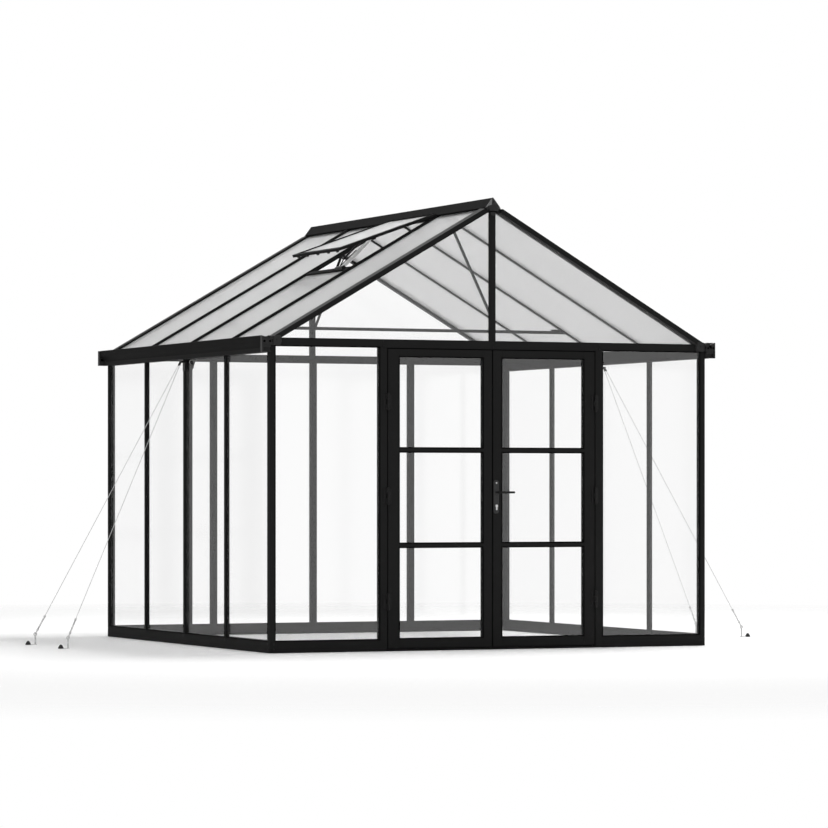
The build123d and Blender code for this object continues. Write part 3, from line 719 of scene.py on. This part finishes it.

# %% [markdown]
# ## Gutter end caps
# Each gutter ends in a moulded cap. Its upper half is a block with a round shoulder and two
# bolts, which reaches over the corner post, and its lower half is an open pocket beside the post.
# A black disc at the bottom of each bolt head's hollow is painted shade. A faceted bracket next to
# it covers the foot of the gable rafter.

# %% Gutter end caps
CAP_IN, CAP_OUT, CAP_TOP, CAP_STEP, SHOULDER = 1.489, 1.561, 1.941, 1.887, 0.022
UPPER = [(CAP_IN, CAP_STEP), (CAP_OUT, CAP_STEP), (CAP_OUT, CAP_TOP)]
for step in range(6, -1, -1):
    turn = math.pi / 2 * step / 6
    UPPER.append((CAP_IN + SHOULDER * (1 - math.sin(turn)),
                  CAP_TOP - SHOULDER * (1 - math.cos(turn))))
UPPER_STEPS = [(0, 0), (0, 0.027), (-0.0025, 0.030), (-0.0045, 0.030), (-0.0055, 0.0285)]
BOLT_X, BOLT_Z, BOLT_SEAT, HOLLOW_SEAT = (1.546, 1.508), 1.906, 0.0284, 0.0287
BOLT = [(0, 0.0115), (0.0025, 0.0112), (0.0032, 0.0102), (0.0026, 0.0085), (0.0006, 0.008)]
HOLLOW_RADIUS, HOLLOW_DEPTH = 0.0079, 0.0008
POCKET_IN, POCKET_OUT, POCKET_RIM = 1.5015, 1.551, 0.0015
POCKET = (  # outer wall, back, shelf and foot, each with its depth
    (rectangle(POCKET_OUT, CAP_OUT, EAVE, CAP_STEP), 0.029),
    (rectangle(POCKET_IN, POCKET_OUT, EAVE, CAP_STEP), 0.008),
    (rectangle(POCKET_IN, POCKET_OUT, 1.871, CAP_STEP), 0.022),
    (rectangle(POCKET_IN, POCKET_OUT, EAVE, 1.8465), 0.026),
)
BRACKET = [(1.488, 1.884), (1.437, 1.884), (1.427, 1.906), (1.436, 1.946), (1.488, 1.940)]
BRACKET_STEPS = [(0, 0.0), (0, 0.018), (-0.004, 0.023), (-0.006, 0.0235)]
BRACKET_SCREW_AT, BRACKET_SCREW = (1.460, 1.916, 0.0230), (0.0045, 0.003)
mesh = bmesh.new()
corner = bmesh.new()
bolt_hollow_shade = bmesh.new()
for x, y in CORNERS:
    end = face(y * OUTER, y, x)
    plate(mesh, UPPER, UPPER_STEPS, end)
    for u in BOLT_X:
        turned(mesh, BOLT, end(u, BOLT_Z, BOLT_SEAT), (0, y, 0), 18)
        # A black disc at the bottom of the bolt head's hollow: painted shade
        hollow_at = end(u, BOLT_Z, HOLLOW_SEAT)
        pin(bolt_hollow_shade, HOLLOW_RADIUS, HOLLOW_DEPTH, hollow_at, (0, y, 0), 18)
    for wall, depth in POCKET:
        plate(mesh, wall, [(0, 0), (0, depth - POCKET_RIM), (-POCKET_RIM, depth)], end)
    plate(corner, BRACKET, BRACKET_STEPS, end)
    screw(screws, end(*BRACKET_SCREW_AT), (0, y, 0), BRACKET_SCREW)
piece("gutter_end_mouldings", mesh, moulded_matt, smooth=False,
      edge=0.0006, stands_for=["gutter_end_caps"])
piece("gutter_end_painted_shade", bolt_hollow_shade, seal_black, smooth=False)
piece("rafter_foot_brackets", corner, moulded_matt, smooth=False, edge=0.001)

# %% [markdown]
# ## Gutter lips and ridge seals
# The outer edge of a gutter is rolled over into a bead, which stiffens it, and a strip in the bar
# coat runs along its foot; it looks paler only against the gutter, whose darker coat is painted
# shade. A rubber strip closes the gap between the ridge cap and the sheets on both sides.
# All are bars along the building.

# %% Gutter lips and ridge seals
LIP = circle(Vector((0, 0)), Vector((1, 0)), Vector((0, 1)), 0.0036, 12)
LIP_X, LIP_Z = 1.5535, 1.9385
RIB, RIB_X, RIB_Z = rectangle(-0.004, 0.003, -0.0035, 0.0035), 1.5265, 1.8435
FOOT_STRIP = ((1.5268, 1.8475), (1.5285, 1.8475), (1.5290, 1.866), (1.5268, 1.867))
FOOT_STRIP_END = 1.4985
RIDGE_SEAL, RIDGE_SEAL_END = rectangle(-0.003, 0.003, -0.006, 0.002), 1.499
RIDGE_SEAL_X, RIDGE_SEAL_Z = 0.0515, slope_z(0.052) + 0.004


def lengthways(mesh, section, x, z, reach):
    """A bar along the building, from its front to its back."""
    bar(mesh, section, (x, -reach, z), (x, reach, z))


mesh = bmesh.new()
strips = bmesh.new()
seals = bmesh.new()
for x in SIDES:
    lengthways(mesh, LIP, x * LIP_X, LIP_Z, OUTER)
    lengthways(mesh, RIB, x * RIB_X, RIB_Z, OUTER)
    skin(strips, [[(x * u, y * FOOT_STRIP_END, v) for u, v in FOOT_STRIP] for y in SIDES])
    lengthways(seals, RIDGE_SEAL, x * RIDGE_SEAL_X, RIDGE_SEAL_Z, RIDGE_SEAL_END)
piece("gutter_lips", mesh, powder_black)
piece("gutter_foot_strips", strips, powder_black, smooth=False)
piece("ridge_seals", seals, seal_black, smooth=False)

# %% [markdown]
# ## Brackets inside the roof
# Folded plates tie the ridge braces and the collar tie to the bars they meet. Each is a thin plate
# with screws through it, set on the face of the bar. The knee braces beside the middle side posts
# get no plate, only screws.

# %% Brackets inside the roof
FOLDED, FOLDED_FACE = [(0, 0), (0, 0.003), (-0.001, 0.004)], 0.004
SMALL_SCREW, LOW_SCREW = (0.005, 0.004), (0.005, 0.003)
PLATE_HALF = 0.015
KING_PLATE = rectangle(-PLATE_HALF, PLATE_HALF, 2.03, 2.13)
KING_SCREWS, BRACE_FOOT, HEAD_REACH = (2.045, 2.118), 2.08, 0.05
CHEEK = ((0.077, 2.047), (0.017, 2.047), (0.057, 2.075), (0.117, 2.075))
CHEEK_SCREWS, COLLAR_HALF = ((0.057, 2.056), (0.082, 2.066)), 0.010
KNEE_SCREWS, KNEE_FACE = ((0.032, 1.786), (0.074, 1.828)), 1.4502
ridge_foot, collar_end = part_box("ridge_beam")[0].z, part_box("collar_tie")[1].x


def under_ridge(u, v, proud):
    return (u, v, ridge_foot - proud)


mesh = bmesh.new()
for y in SIDES:
    on_king = face(y * GABLE, -y)
    plate(mesh, KING_PLATE, FOLDED, on_king)
    for z in KING_SCREWS:
        screw(screws, on_king(0, z, FOLDED_FACE), (0, -y, 0), SMALL_SCREW)
    head = y * (GABLE - (ridge_foot - BRACE_FOOT))
    head_plate = rectangle(-PLATE_HALF, PLATE_HALF, head - HEAD_REACH, head + HEAD_REACH)
    plate(mesh, head_plate, FOLDED, under_ridge)
for x, y in CORNERS:
    on_tie = face(y * COLLAR_HALF, y, x)
    plate(mesh, [(collar_end - far, z) for far, z in CHEEK], FOLDED, on_tie)
    for far, z in CHEEK_SCREWS:
        screw(screws, on_tie(collar_end - far, z, FOLDED_FACE), (0, y, 0), SMALL_SCREW)
    for along, level in KNEE_SCREWS:
        screw(screws, (x * KNEE_FACE, y * along, level), (-x, 0, 0), LOW_SCREW)
piece("roof_brackets", mesh, powder_black, smooth=False)

# %% [markdown]
# ## Doors
# The leaves are glazed like the walls, with a gasket round each pane on both faces. A rubber
# seal on the right leaf closes the gap where the leaves meet, and stays clear of the left leaf
# so that either leaf opens by itself. Each seal rides on its own leaf. Behind the leaves an
# upstand on the sill closes the gap below them.

# %% Doors
PANES = ((0.079, 0.636), (0.671, 1.228), (1.263, 1.820))
PANE_SIDES, LEAF_BACK = (0.068, 0.633), -1.466
MEETING_LIP = [(0.0045, -1.497), (-0.0005, -1.497), (-0.002, -1.493), (-0.002, -1.483),
               (-0.0005, -1.479), (0.0045, -1.479)]
MEETING_ENDS = (0.018, 1.869)
LEAVES = tuple(zip(SIDES, ("left_door", "right_door")))
for side, body in LEAVES:
    mesh = bmesh.new()
    for low, high in PANES:
        pane = rectangle(*sorted(side * x for x in PANE_SIDES), low, high)
        for place in (on_front, face(LEAF_BACK, 1)):
            bead(mesh, pane, GASKET, place)
    if body == "right_door":
        skin(mesh, [[(u, v, z) for u, v in MEETING_LIP] for z in MEETING_ENDS])
    piece(body + "_seals", mesh, seal_black, body)

UPSTAND = [(-0.006, 0.0), (0.006, 0.0), (0.006, 0.022), (-0.002, 0.026), (-0.006, 0.026)]
SILL_HALF, SILL_Y, SILL_Z = 0.695, -1.454, 0.010
mesh = bmesh.new()
bar(mesh, UPSTAND, (-SILL_HALF, SILL_Y, SILL_Z), (SILL_HALF, SILL_Y, SILL_Z))
piece("sill_upstand", mesh, powder_black, smooth=False, edge=0.0006)

# %% [markdown]
# ## Hinges
# Each hinge has a countersunk screw near both ends of its two plates, and its pin ends in small
# domed finials. The plates on the jambs belong to the frame and the others move with the leaf, so
# the screws are made in three pieces.

# %% Hinges
HINGE_Z = (0.3072, 0.9601, 1.5445)
JAMB_PLATE_X, LEAF_PLATE_X, PLATE_FACE_Y = 0.735, 0.695, -1.504
HINGE_SCREW, SCREW_REACH = (0.0042, 0.0016), 0.033
PIN_X, PIN_Y, PIN_REACH = 0.715, -1.512, 0.0458
FINIAL = [(0, 0.0078), (0.002, 0.0082), (0.005, 0.007), (0.0075, 0.003)]
finials = bmesh.new()
for side, body in LEAVES:
    mesh = bmesh.new()
    for height in HINGE_Z:
        for end in SIDES:
            level = height + end * SCREW_REACH
            screw(screws, (side * JAMB_PLATE_X, PLATE_FACE_Y, level), (0, -1, 0), HINGE_SCREW)
            screw(mesh, (side * LEAF_PLATE_X, PLATE_FACE_Y, level), (0, -1, 0), HINGE_SCREW)
            pin_end = (side * PIN_X, PIN_Y, height + end * PIN_REACH)
            turned(finials, FINIAL, pin_end, (0, 0, end), 16)
    piece(body + "_hinge_screws", mesh, fitting_black, body)
piece("hinge_finials", finials, fitting_black)

# %% [markdown]
# ## Handle plates and lock
# The handle is a long plate with round ends, a lever and a lock cylinder below it. The plate gets
# a chamfered rim and a lighter grey than the lever, partly its own tone and partly a painted
# highlight for the light on its rim. The cylinder and the screw above the lever are bare metal and
# stand out as two bright spots. Both faces of the leaf have the same set, so one loop makes them.

# %% Handle plates and lock
SPINDLE_X, SPINDLE_Z = 0.024, 0.982
LEAF_MID, LEAF_HALF = -1.483, 0.017
PLATE_MID, PLATE_WIDTH_HALF, PLATE_HEIGHT_HALF = SPINDLE_Z - 0.028, 0.018, 0.1055
PLATE_RIM = ((0, 0), (0, 0.003), (0.0035, 0.006), (0.007, 0.0064))
PLATE_FACE, ROSE_SEAT = 0.006, 0.0058
ROSE = [(0, 0.0125), (0.0042, 0.012), (0.0052, 0.0105)]
HANDLE_SCREW, HANDLE_SCREW_RISE = (0.0052, 0.003), 0.087
LOCK = [(0, 0.0086), (0.0045, 0.0086), (0.0052, 0.0078), (0.0052, 0.003), (0.003, 0.0025)]
LOCK_DROP = 0.057
TONGUE = rectangle(SPINDLE_X - 0.005, SPINDLE_X + 0.005, PLATE_MID - 0.083, PLATE_MID - 0.060)
TONGUE_STEPS = [(0, 0.006), (0, 0.0102), (-0.0008, 0.011)]


def long_slot(half_width, half_height, steps=10):
    """Outline of a plate with round ends, about the handle plate's middle."""
    points = []
    for end in (1, -1):
        middle = PLATE_MID + end * (half_height - half_width)
        for step in range(steps + 1):
            turn = math.pi * step / steps + (0 if end > 0 else math.pi)
            points.append((SPINDLE_X + half_width * math.cos(turn),
                           middle + half_width * math.sin(turn)))
    return points


mesh = bmesh.new()
bright = bmesh.new()
for outward in SIDES:
    on_leaf, axis = face(LEAF_MID + outward * LEAF_HALF, outward), (0, outward, 0)
    rings = []
    for by, proud in PLATE_RIM:
        outline = long_slot(PLATE_WIDTH_HALF - by, PLATE_HEIGHT_HALF - by)
        rings.append([on_leaf(u, v, proud) for u, v in outline])
    skin(mesh, rings)
    turned(mesh, ROSE, on_leaf(SPINDLE_X, SPINDLE_Z, ROSE_SEAT), axis, 24)
    screw_at = on_leaf(SPINDLE_X, PLATE_MID + HANDLE_SCREW_RISE, PLATE_FACE)
    screw(bright, screw_at, axis, HANDLE_SCREW)
    turned(bright, LOCK, on_leaf(SPINDLE_X, PLATE_MID - LOCK_DROP, PLATE_FACE), axis, 24)
    plate(bright, TONGUE, TONGUE_STEPS, on_leaf)
piece("handle_backplates", mesh, handle_grey_and_highlight, "right_door",
      stands_for=["handle_plates"])
piece("lock_cylinder", bright, drawn_alloy, "right_door")

# %% [markdown]
# ## Door levers
# A lever is a tapered bar that leaves the plate straight and turns aside in a bend. A swept curve
# could give it, but rings along a path also give the taper and the flattened grip. Both levers
# sit on one spindle through the leaf and turn together.

# %% Door levers
NECK, NECK_START, NECK_STEP, NECK_END = 0.0075, 0.0078, 0.006, 0.0258
BEND, BEND_DEEP = 0.02, 0.0072
GRIP_OUT, GRIP_LENGTH, GRIP_BOW = 0.0458, 0.085, 0.001
GRIP_TALL, GRIP_DEEP, TALL_TAPER, DEEP_TAPER = 0.0072, 0.0066, 0.0004, 0.001
GRIP_TIP = (0.1085, 0.0455, 0.005, 0.0042)
SPINDLE_RADIUS, SPINDLE_HALF, LEVER_SIDES = 0.0049, 0.031, 14
path = []  # aside, out, half height, half depth
for step in range(4):
    path.append((0.0, NECK_START + step * NECK_STEP, NECK, NECK))
for step in range(1, 7):
    turn = math.pi / 2 * step / 6
    path.append((BEND * (1 - math.cos(turn)), NECK_END + BEND * math.sin(turn), NECK, BEND_DEEP))
for step in range(1, 9):
    far = step / 8
    path.append((BEND + GRIP_LENGTH * far, GRIP_OUT + GRIP_BOW * math.sin(far * math.pi),
                 GRIP_TALL - TALL_TAPER * far, GRIP_DEEP - DEEP_TAPER * far))
path.append(GRIP_TIP)

mesh = bmesh.new()
for outward in SIDES:
    rings = []
    for here, (x, out, tall, deep) in enumerate(path):
        before, after = path[max(here - 1, 0)], path[min(here + 1, len(path) - 1)]
        along = Vector((after[0] - before[0], after[1] - before[1])).normalized()
        ring = []
        for step in range(LEVER_SIDES):
            turn = 2 * math.pi * step / LEVER_SIDES
            across, rise = deep * math.cos(turn), tall * math.sin(turn)
            ring.append((SPINDLE_X + x - along.y * across,
                         LEAF_MID + outward * (LEAF_HALF + out + along.x * across),
                         SPINDLE_Z + rise))
        rings.append(ring)
    skin(mesh, rings)
spindle_end = (SPINDLE_X, LEAF_MID - SPINDLE_HALF, SPINDLE_Z)
pin(mesh, SPINDLE_RADIUS, 2 * SPINDLE_HALF, spindle_end, (0, 1, 0), 16)
piece("lever_handles", mesh, fitting_black, "handle", stands_for=["handle_lever"])

# %% [markdown]
# ## Roof vent opener
# The vent opens by itself: wax in a light grey cylinder swells in the sun and pushes a piston. The
# cylinder leans from a black foot on the crossbar up to the sash, and the piston reaches on from
# there. Both are round rods between two points, so one function turns them.

# %% Roof vent opener
SASH_HINGE_X, SASH_HINGE_Z, SASH_PITCH = 0.0523, 2.7578, math.radians(19.5)
OPENER_Y, OPENER_RUN, OPENER_REACH, OPENER_SEAT = -0.602, 0.745, 0.41, 0.004
CYLINDER_RADIUS, PISTON_RADIUS, CYLINDER_WAIST = 0.0125, 0.006, 0.9
CYLINDER_SPAN, PISTON_SPAN = (0.05, 0.88), (0.86, 0.99)
WAIST_START, WAIST_END, ROD_TIP, ROD_ROUND = 0.62, 0.64, 0.7, 0.002


def tilted(start, height, pitch, run, lift, y):
    """A point run down a plane that falls to the left, and lift above it."""
    return Vector((-(start + run * math.cos(pitch) + lift * math.sin(pitch)), y,
                   height - run * math.sin(pitch) + lift * math.cos(pitch)))


def on_sash(run, lift, y):
    """A point of the propped sash, run down from its hinge and lift above its underside."""
    return tilted(SASH_HINGE_X, SASH_HINGE_Z, SASH_PITCH, run, lift, y)


def on_slope(run, lift, y):
    """A point of the left slope, run down from the apex and lift above the rafter tops."""
    return tilted(0.0, APEX, PITCH, run, lift, y)


def rod(mesh, start, end, radius, sides=14, waist=1.0):
    """A round rod with rounded ends, thinner by waist over its last part."""
    length, thin = (end - start).length, radius * waist
    steps = [(0, radius * ROD_TIP), (ROD_ROUND, radius), (length * WAIST_START, radius),
             (length * WAIST_END, thin), (length - ROD_ROUND, thin), (length, thin * ROD_TIP)]
    turned(mesh, steps, start, end - start, sides)


def opener_span(span):
    """Two points between the opener's foot and its head, at two shares of the way."""
    foot = on_slope(OPENER_RUN, OPENER_SEAT, OPENER_Y)
    head = on_sash(OPENER_REACH, -OPENER_SEAT, OPENER_Y)
    return [foot.lerp(head, share) for share in span]


alloy = bmesh.new()
rod(alloy, *opener_span(CYLINDER_SPAN), CYLINDER_RADIUS, 18, CYLINDER_WAIST)
rod(alloy, *opener_span(PISTON_SPAN), PISTON_RADIUS)
piece("vent_cylinder", alloy, drawn_alloy, stands_for=["vent_opener"])

# %% [markdown]
# ## Arm and catches of the vent
# A thin guide rod and a bent arm beside the cylinder keep the sash steady; the arm is two rods
# that meet at a round joint. They stand on the same black block as the cylinder, and blocks and
# clips hold the sash. These are short bars of one section, laid on the slope or under the sash.

# %% Arm and catches of the vent
ARM_Y, ARM_RUN, ARM_REACH = -0.54, 0.742, 0.45
GUIDE_SPAN, GUIDE_ASIDE, GUIDE_RADIUS = (0.02, 0.62), Vector((0, 0.07, 0)), 0.003
ELBOW, ELBOW_RADIUS, ELBOW_HALF = Vector((0.035, 0, 0.068)), 0.009, 0.015
LOWER_ARM, UPPER_ARM = 0.004, 0.0065
BLOCK = [(-0.016, -0.006), (0.016, -0.006), (0.012, 0.016), (-0.012, 0.016)]
BLOCK_HALF, FOOT_PAST_ARM = 0.03, 0.025
CLIP = [(-0.008, -0.002), (0.008, -0.002), (0.005, 0.010), (-0.005, 0.010)]
CLIP_Y, CLIP_RUN, CLIP_HALF = (-0.70, -0.55, -0.37, -0.19, -0.04), 0.709, 0.012
under_sash = (math.sin(SASH_PITCH), 0, -math.cos(SASH_PITCH))
black = bmesh.new()
rod(black, *(point + GUIDE_ASIDE for point in opener_span(GUIDE_SPAN)), GUIDE_RADIUS)
arm_foot = on_slope(ARM_RUN, 0.0, ARM_Y)
elbow = arm_foot + ELBOW
rod(black, arm_foot, elbow, LOWER_ARM)
rod(black, elbow, on_sash(ARM_REACH, 0.0, ARM_Y), UPPER_ARM)
joint_end = elbow - Vector((0, ELBOW_HALF, 0))
pin(black, ELBOW_RADIUS, 2 * ELBOW_HALF, joint_end, (0, 1, 0), 16)
block_start = on_slope(OPENER_RUN, 0.0, OPENER_Y - BLOCK_HALF)
block_end = on_slope(OPENER_RUN, 0.0, ARM_Y + FOOT_PAST_ARM)
bar(black, BLOCK, block_start, block_end, slope_up(-1))
for run, y in ((OPENER_REACH, OPENER_Y - BLOCK_HALF), (ARM_REACH, ARM_Y - BLOCK_HALF)):
    bar(black, BLOCK, on_sash(run, 0.0, y), on_sash(run, 0.0, y + 2 * BLOCK_HALF), under_sash)
for y in CLIP_Y:
    clip_start, clip_end = (on_sash(CLIP_RUN, 0.0, y + end * CLIP_HALF) for end in SIDES)
    bar(black, CLIP, clip_start, clip_end, under_sash)
piece("vent_brackets", black, fitting_black, smooth=False, edge=0.0006)

# %% [markdown]
# ## Trim of the vent sash
# The sash has a gasket round its sheet on both faces, and short hinge barrels along the ridge.
# They are the same beads and turned pieces as elsewhere, set on the tilted plane of the sash.

# %% Trim of the vent sash
SASH_PANE, SASH_DEPTH = rectangle(0.012, 0.693, -0.728, -0.012), 0.018
BARREL_Y, BARREL_RUN, BARREL_LIFT = (-0.70, -0.53, -0.37, -0.21, -0.04), 0.002, 0.0175
BARREL_RADIUS, BARREL_HALF = 0.006, 0.025
mesh = bmesh.new()
bead(mesh, SASH_PANE, GASKET, lambda u, v, proud: on_sash(u, SASH_DEPTH + proud, v))
bead(mesh, SASH_PANE, GASKET, lambda u, v, proud: on_sash(u, -proud, v))
piece("vent_seals", mesh, seal_black)

mesh = bmesh.new()
for y in BARREL_Y:
    barrel_end = on_sash(BARREL_RUN, BARREL_LIFT, y - BARREL_HALF)
    pin(mesh, BARREL_RADIUS, 2 * BARREL_HALF, barrel_end, (0, 1, 0), 14)
piece("vent_hinge_barrels", mesh, powder_black)

# %% [markdown]
# ## Wire stays
# Two wires on each side hold the building down in wind, each on a straight line from a lug under
# the gutter to the eye of an anchor. A plain cylinder would do from far away, but a wire rope is
# three strands laid in a helix, and close by the twist shows.

# %% Wire stays
LUG, EYE = (1.5255, 0.008, 1.823), (2.4, 0.33, 0.068)
SOCKET, BUCKLE = 0.026, 0.110
STRANDS, STRAND_OUT, STRAND_RADIUS, STRAND_SIDES = 3, 0.00105, 0.0011, 5
LAY_STEP, LAY_TURN = 0.005, math.pi / 3


def mirrored(point, x, y):
    """A point of the right back corner, taken to the corner with the signs x and y."""
    return Vector((x * point[0], y * point[1], point[2]))


def wire_rope(mesh, start, end, side, other):
    """Strands in a helix; side and other are square to the line from start to end."""
    steps = int((end - start).length / LAY_STEP)
    for strand in range(STRANDS):
        rings = []
        for step in range(steps + 1):
            turn = step * LAY_TURN + strand * 2 * math.pi / STRANDS
            middle = start + (end - start) * (step / steps)
            middle += (side * math.cos(turn) + other * math.sin(turn)) * STRAND_OUT
            rings.append(circle(middle, side, other, STRAND_RADIUS, STRAND_SIDES))
        skin(mesh, rings)


stays = []
mesh = bmesh.new()
for x, y in CORNERS:
    upper, eye = mirrored(LUG, x, y), mirrored(EYE, x, y)
    along = (eye - upper).normalized()
    side = along.orthogonal().normalized()
    wire_end = eye - along * (SOCKET + BUCKLE)
    wire_rope(mesh, upper + along * SOCKET, wire_end, side, along.cross(side))
    stays.append((wire_end, along, side))
piece("stay_wires", mesh, zinc, stands_for=["stay_cables"])

# %% [markdown]
# ## Turnbuckles
# A turnbuckle near the ground tightens each wire. It is an open body between two bosses, with a
# threaded end in each. Its parts are turned round the line of the wire, and two thin side rails
# leave its middle open, so that the threads can be seen.

# %% Turnbuckles
BOSS, BOSS_LENGTH = [(0, 0.0055), (0.002, 0.0068), (0.014, 0.0068), (0.016, 0.0055)], 0.016
RAIL_RADIUS, RAIL_OUT, RAIL_START = 0.0022, 0.0055, 0.012
THREAD = [(step * 0.002, 0.0026 if step % 2 else 0.0032) for step in range(15)]
THREAD_STARTS = (0.016, 0.066)
SHANK_RADIUS, SHANK_BACK, SHANK_LENGTH = 0.0045, SOCKET + 0.001, SOCKET + 0.002


def tightener(mesh, start, along, side):
    """A turnbuckle: two bosses, two side rails, two threaded ends and the shank to the eye."""
    for far in (0.0, BUCKLE - BOSS_LENGTH):
        turned(mesh, BOSS, start + along * far, along, 12)
    for swing in SIDES:
        rail_start = start + side * swing * RAIL_OUT + along * RAIL_START
        pin(mesh, RAIL_RADIUS, BUCKLE - 2 * RAIL_START, rail_start, along, 10)
    for far in THREAD_STARTS:
        turned(mesh, THREAD, start + along * far, along, 10)
    shank_start = start + along * (BUCKLE + SOCKET - SHANK_BACK)
    pin(mesh, SHANK_RADIUS, SHANK_LENGTH, shank_start, along, 12)


mesh = bmesh.new()
for stay in stays:
    tightener(mesh, *stay)
piece("stay_tighteners", mesh, zinc, stands_for=["turnbuckles"])

# %% [markdown]
# ## Ground anchors
# Each stay ends at an anchor in the ground: a short rod with a ring at its top, and a strap along
# the ground to a domed peg. The ring is a circle of small circles, and the rest is turned or
# straight.

# %% Ground anchors
ANCHOR_ROD = [(0, 0.005), (0.060, 0.005), (0.064, 0.004)]
RING_RADIUS, RING_WIRE, RING_STEPS, RING_SIDES = 0.0095, 0.0028, 20, 8
STRAP = [(-0.007, 0), (0.007, 0), (0.006, 0.004), (-0.006, 0.004)]
STRAP_BACK, STRAP_OUT, PEG_OUT = 0.008, 0.05, 0.048
PEG = [(0, 0.018), (0.004, 0.018), (0.010, 0.0155), (0.017, 0.0115), (0.0225, 0.0075),
       (0.0255, 0.003)]
ACROSS, DEEP, UP = Vector((1, 0, 0)), Vector((0, 1, 0)), Vector((0, 0, 1))
anchor_mesh = bmesh.new()
peg_mesh = bmesh.new()
for x, y in CORNERS:
    eye = mirrored(EYE, x, y)
    turned(anchor_mesh, ANCHOR_ROD, (eye.x, eye.y, 0), UP, 14)
    ring = []
    for hub in circle(eye, ACROSS, UP, RING_RADIUS, RING_STEPS):
        ring.append(circle(hub, (hub - eye).normalized(), DEEP, RING_WIRE, RING_SIDES))
    skin(anchor_mesh, ring, True)
    strap_start, strap_end = eye.x - x * STRAP_BACK, eye.x + x * STRAP_OUT
    bar(anchor_mesh, STRAP, (strap_start, eye.y, 0), (strap_end, eye.y, 0))
    turned(peg_mesh, PEG, (eye.x + x * PEG_OUT, eye.y, 0.0), UP, 20)
piece("anchor_rods", anchor_mesh, zinc, stands_for=["ground_anchors"])
piece("anchor_pegs", peg_mesh, moulded_black)

# %% [markdown]
# ## Screws of the frame
# Posts, beams and base rails are bolted together, so each joint gets its screws: one at the foot
# of each inner side post, two on both faces of each corner of the base, two where king posts,
# jambs and back posts meet a tie beam, and two at each stay bracket. Those collected on the way
# here go into the same piece.

# %% Screws of the frame
POST_SCREW, BASE_SCREWS = 0.058, (0.022, 0.054)
TIE_SCREWS, LUG_SCREWS = (1.889, 1.918), (1.778, 1.806)
BASE_LINE, JAMB_LINE, BACK_POST_LINE, LUG_FACE = 1.475, 0.745, BAY_LINES[3], 1.504
for x in SIDES:
    for y in BAY_LINES[1:-1]:
        screw(screws, (x * OUTER, y, POST_SCREW), (x, 0, 0), FRAME_SCREW)
    for y in SIDES:
        for level in BASE_SCREWS:
            screw(screws, (x * OUTER, y * BASE_LINE, level), (x, 0, 0), FRAME_SCREW)
            screw(screws, (x * BASE_LINE, y * OUTER, level), (0, y, 0), FRAME_SCREW)
    for level in TIE_SCREWS:
        screw(screws, (0, x * OUTER, level), (0, x, 0), SMALL_SCREW)
        screw(screws, (x * JAMB_LINE, -OUTER, level), (0, -1, 0), SMALL_SCREW)
        screw(screws, (x * BACK_POST_LINE, OUTER, level), (0, 1, 0), SMALL_SCREW)
    for level in LUG_SCREWS:
        screw(screws, (x * LUG_FACE, 0.0, level), (x, 0, 0), SMALL_SCREW)
piece("frame_screws", screws, fitting_black)

# %% [markdown]
# ## Size and finish
# The boxes of the bare and the dressed model are printed together. The dressed model
# must stay in the box of the bare one, give or take a few millimetres.

# %% Size and finish
dressed_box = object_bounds()
sizes = {"cad": [list(corner) for corner in plain_box], "visual": [list(corner) for corner in dressed_box]}
for name, box in sizes.items():
    print(name, [[round(v, 4) for v in corner] for corner in box])
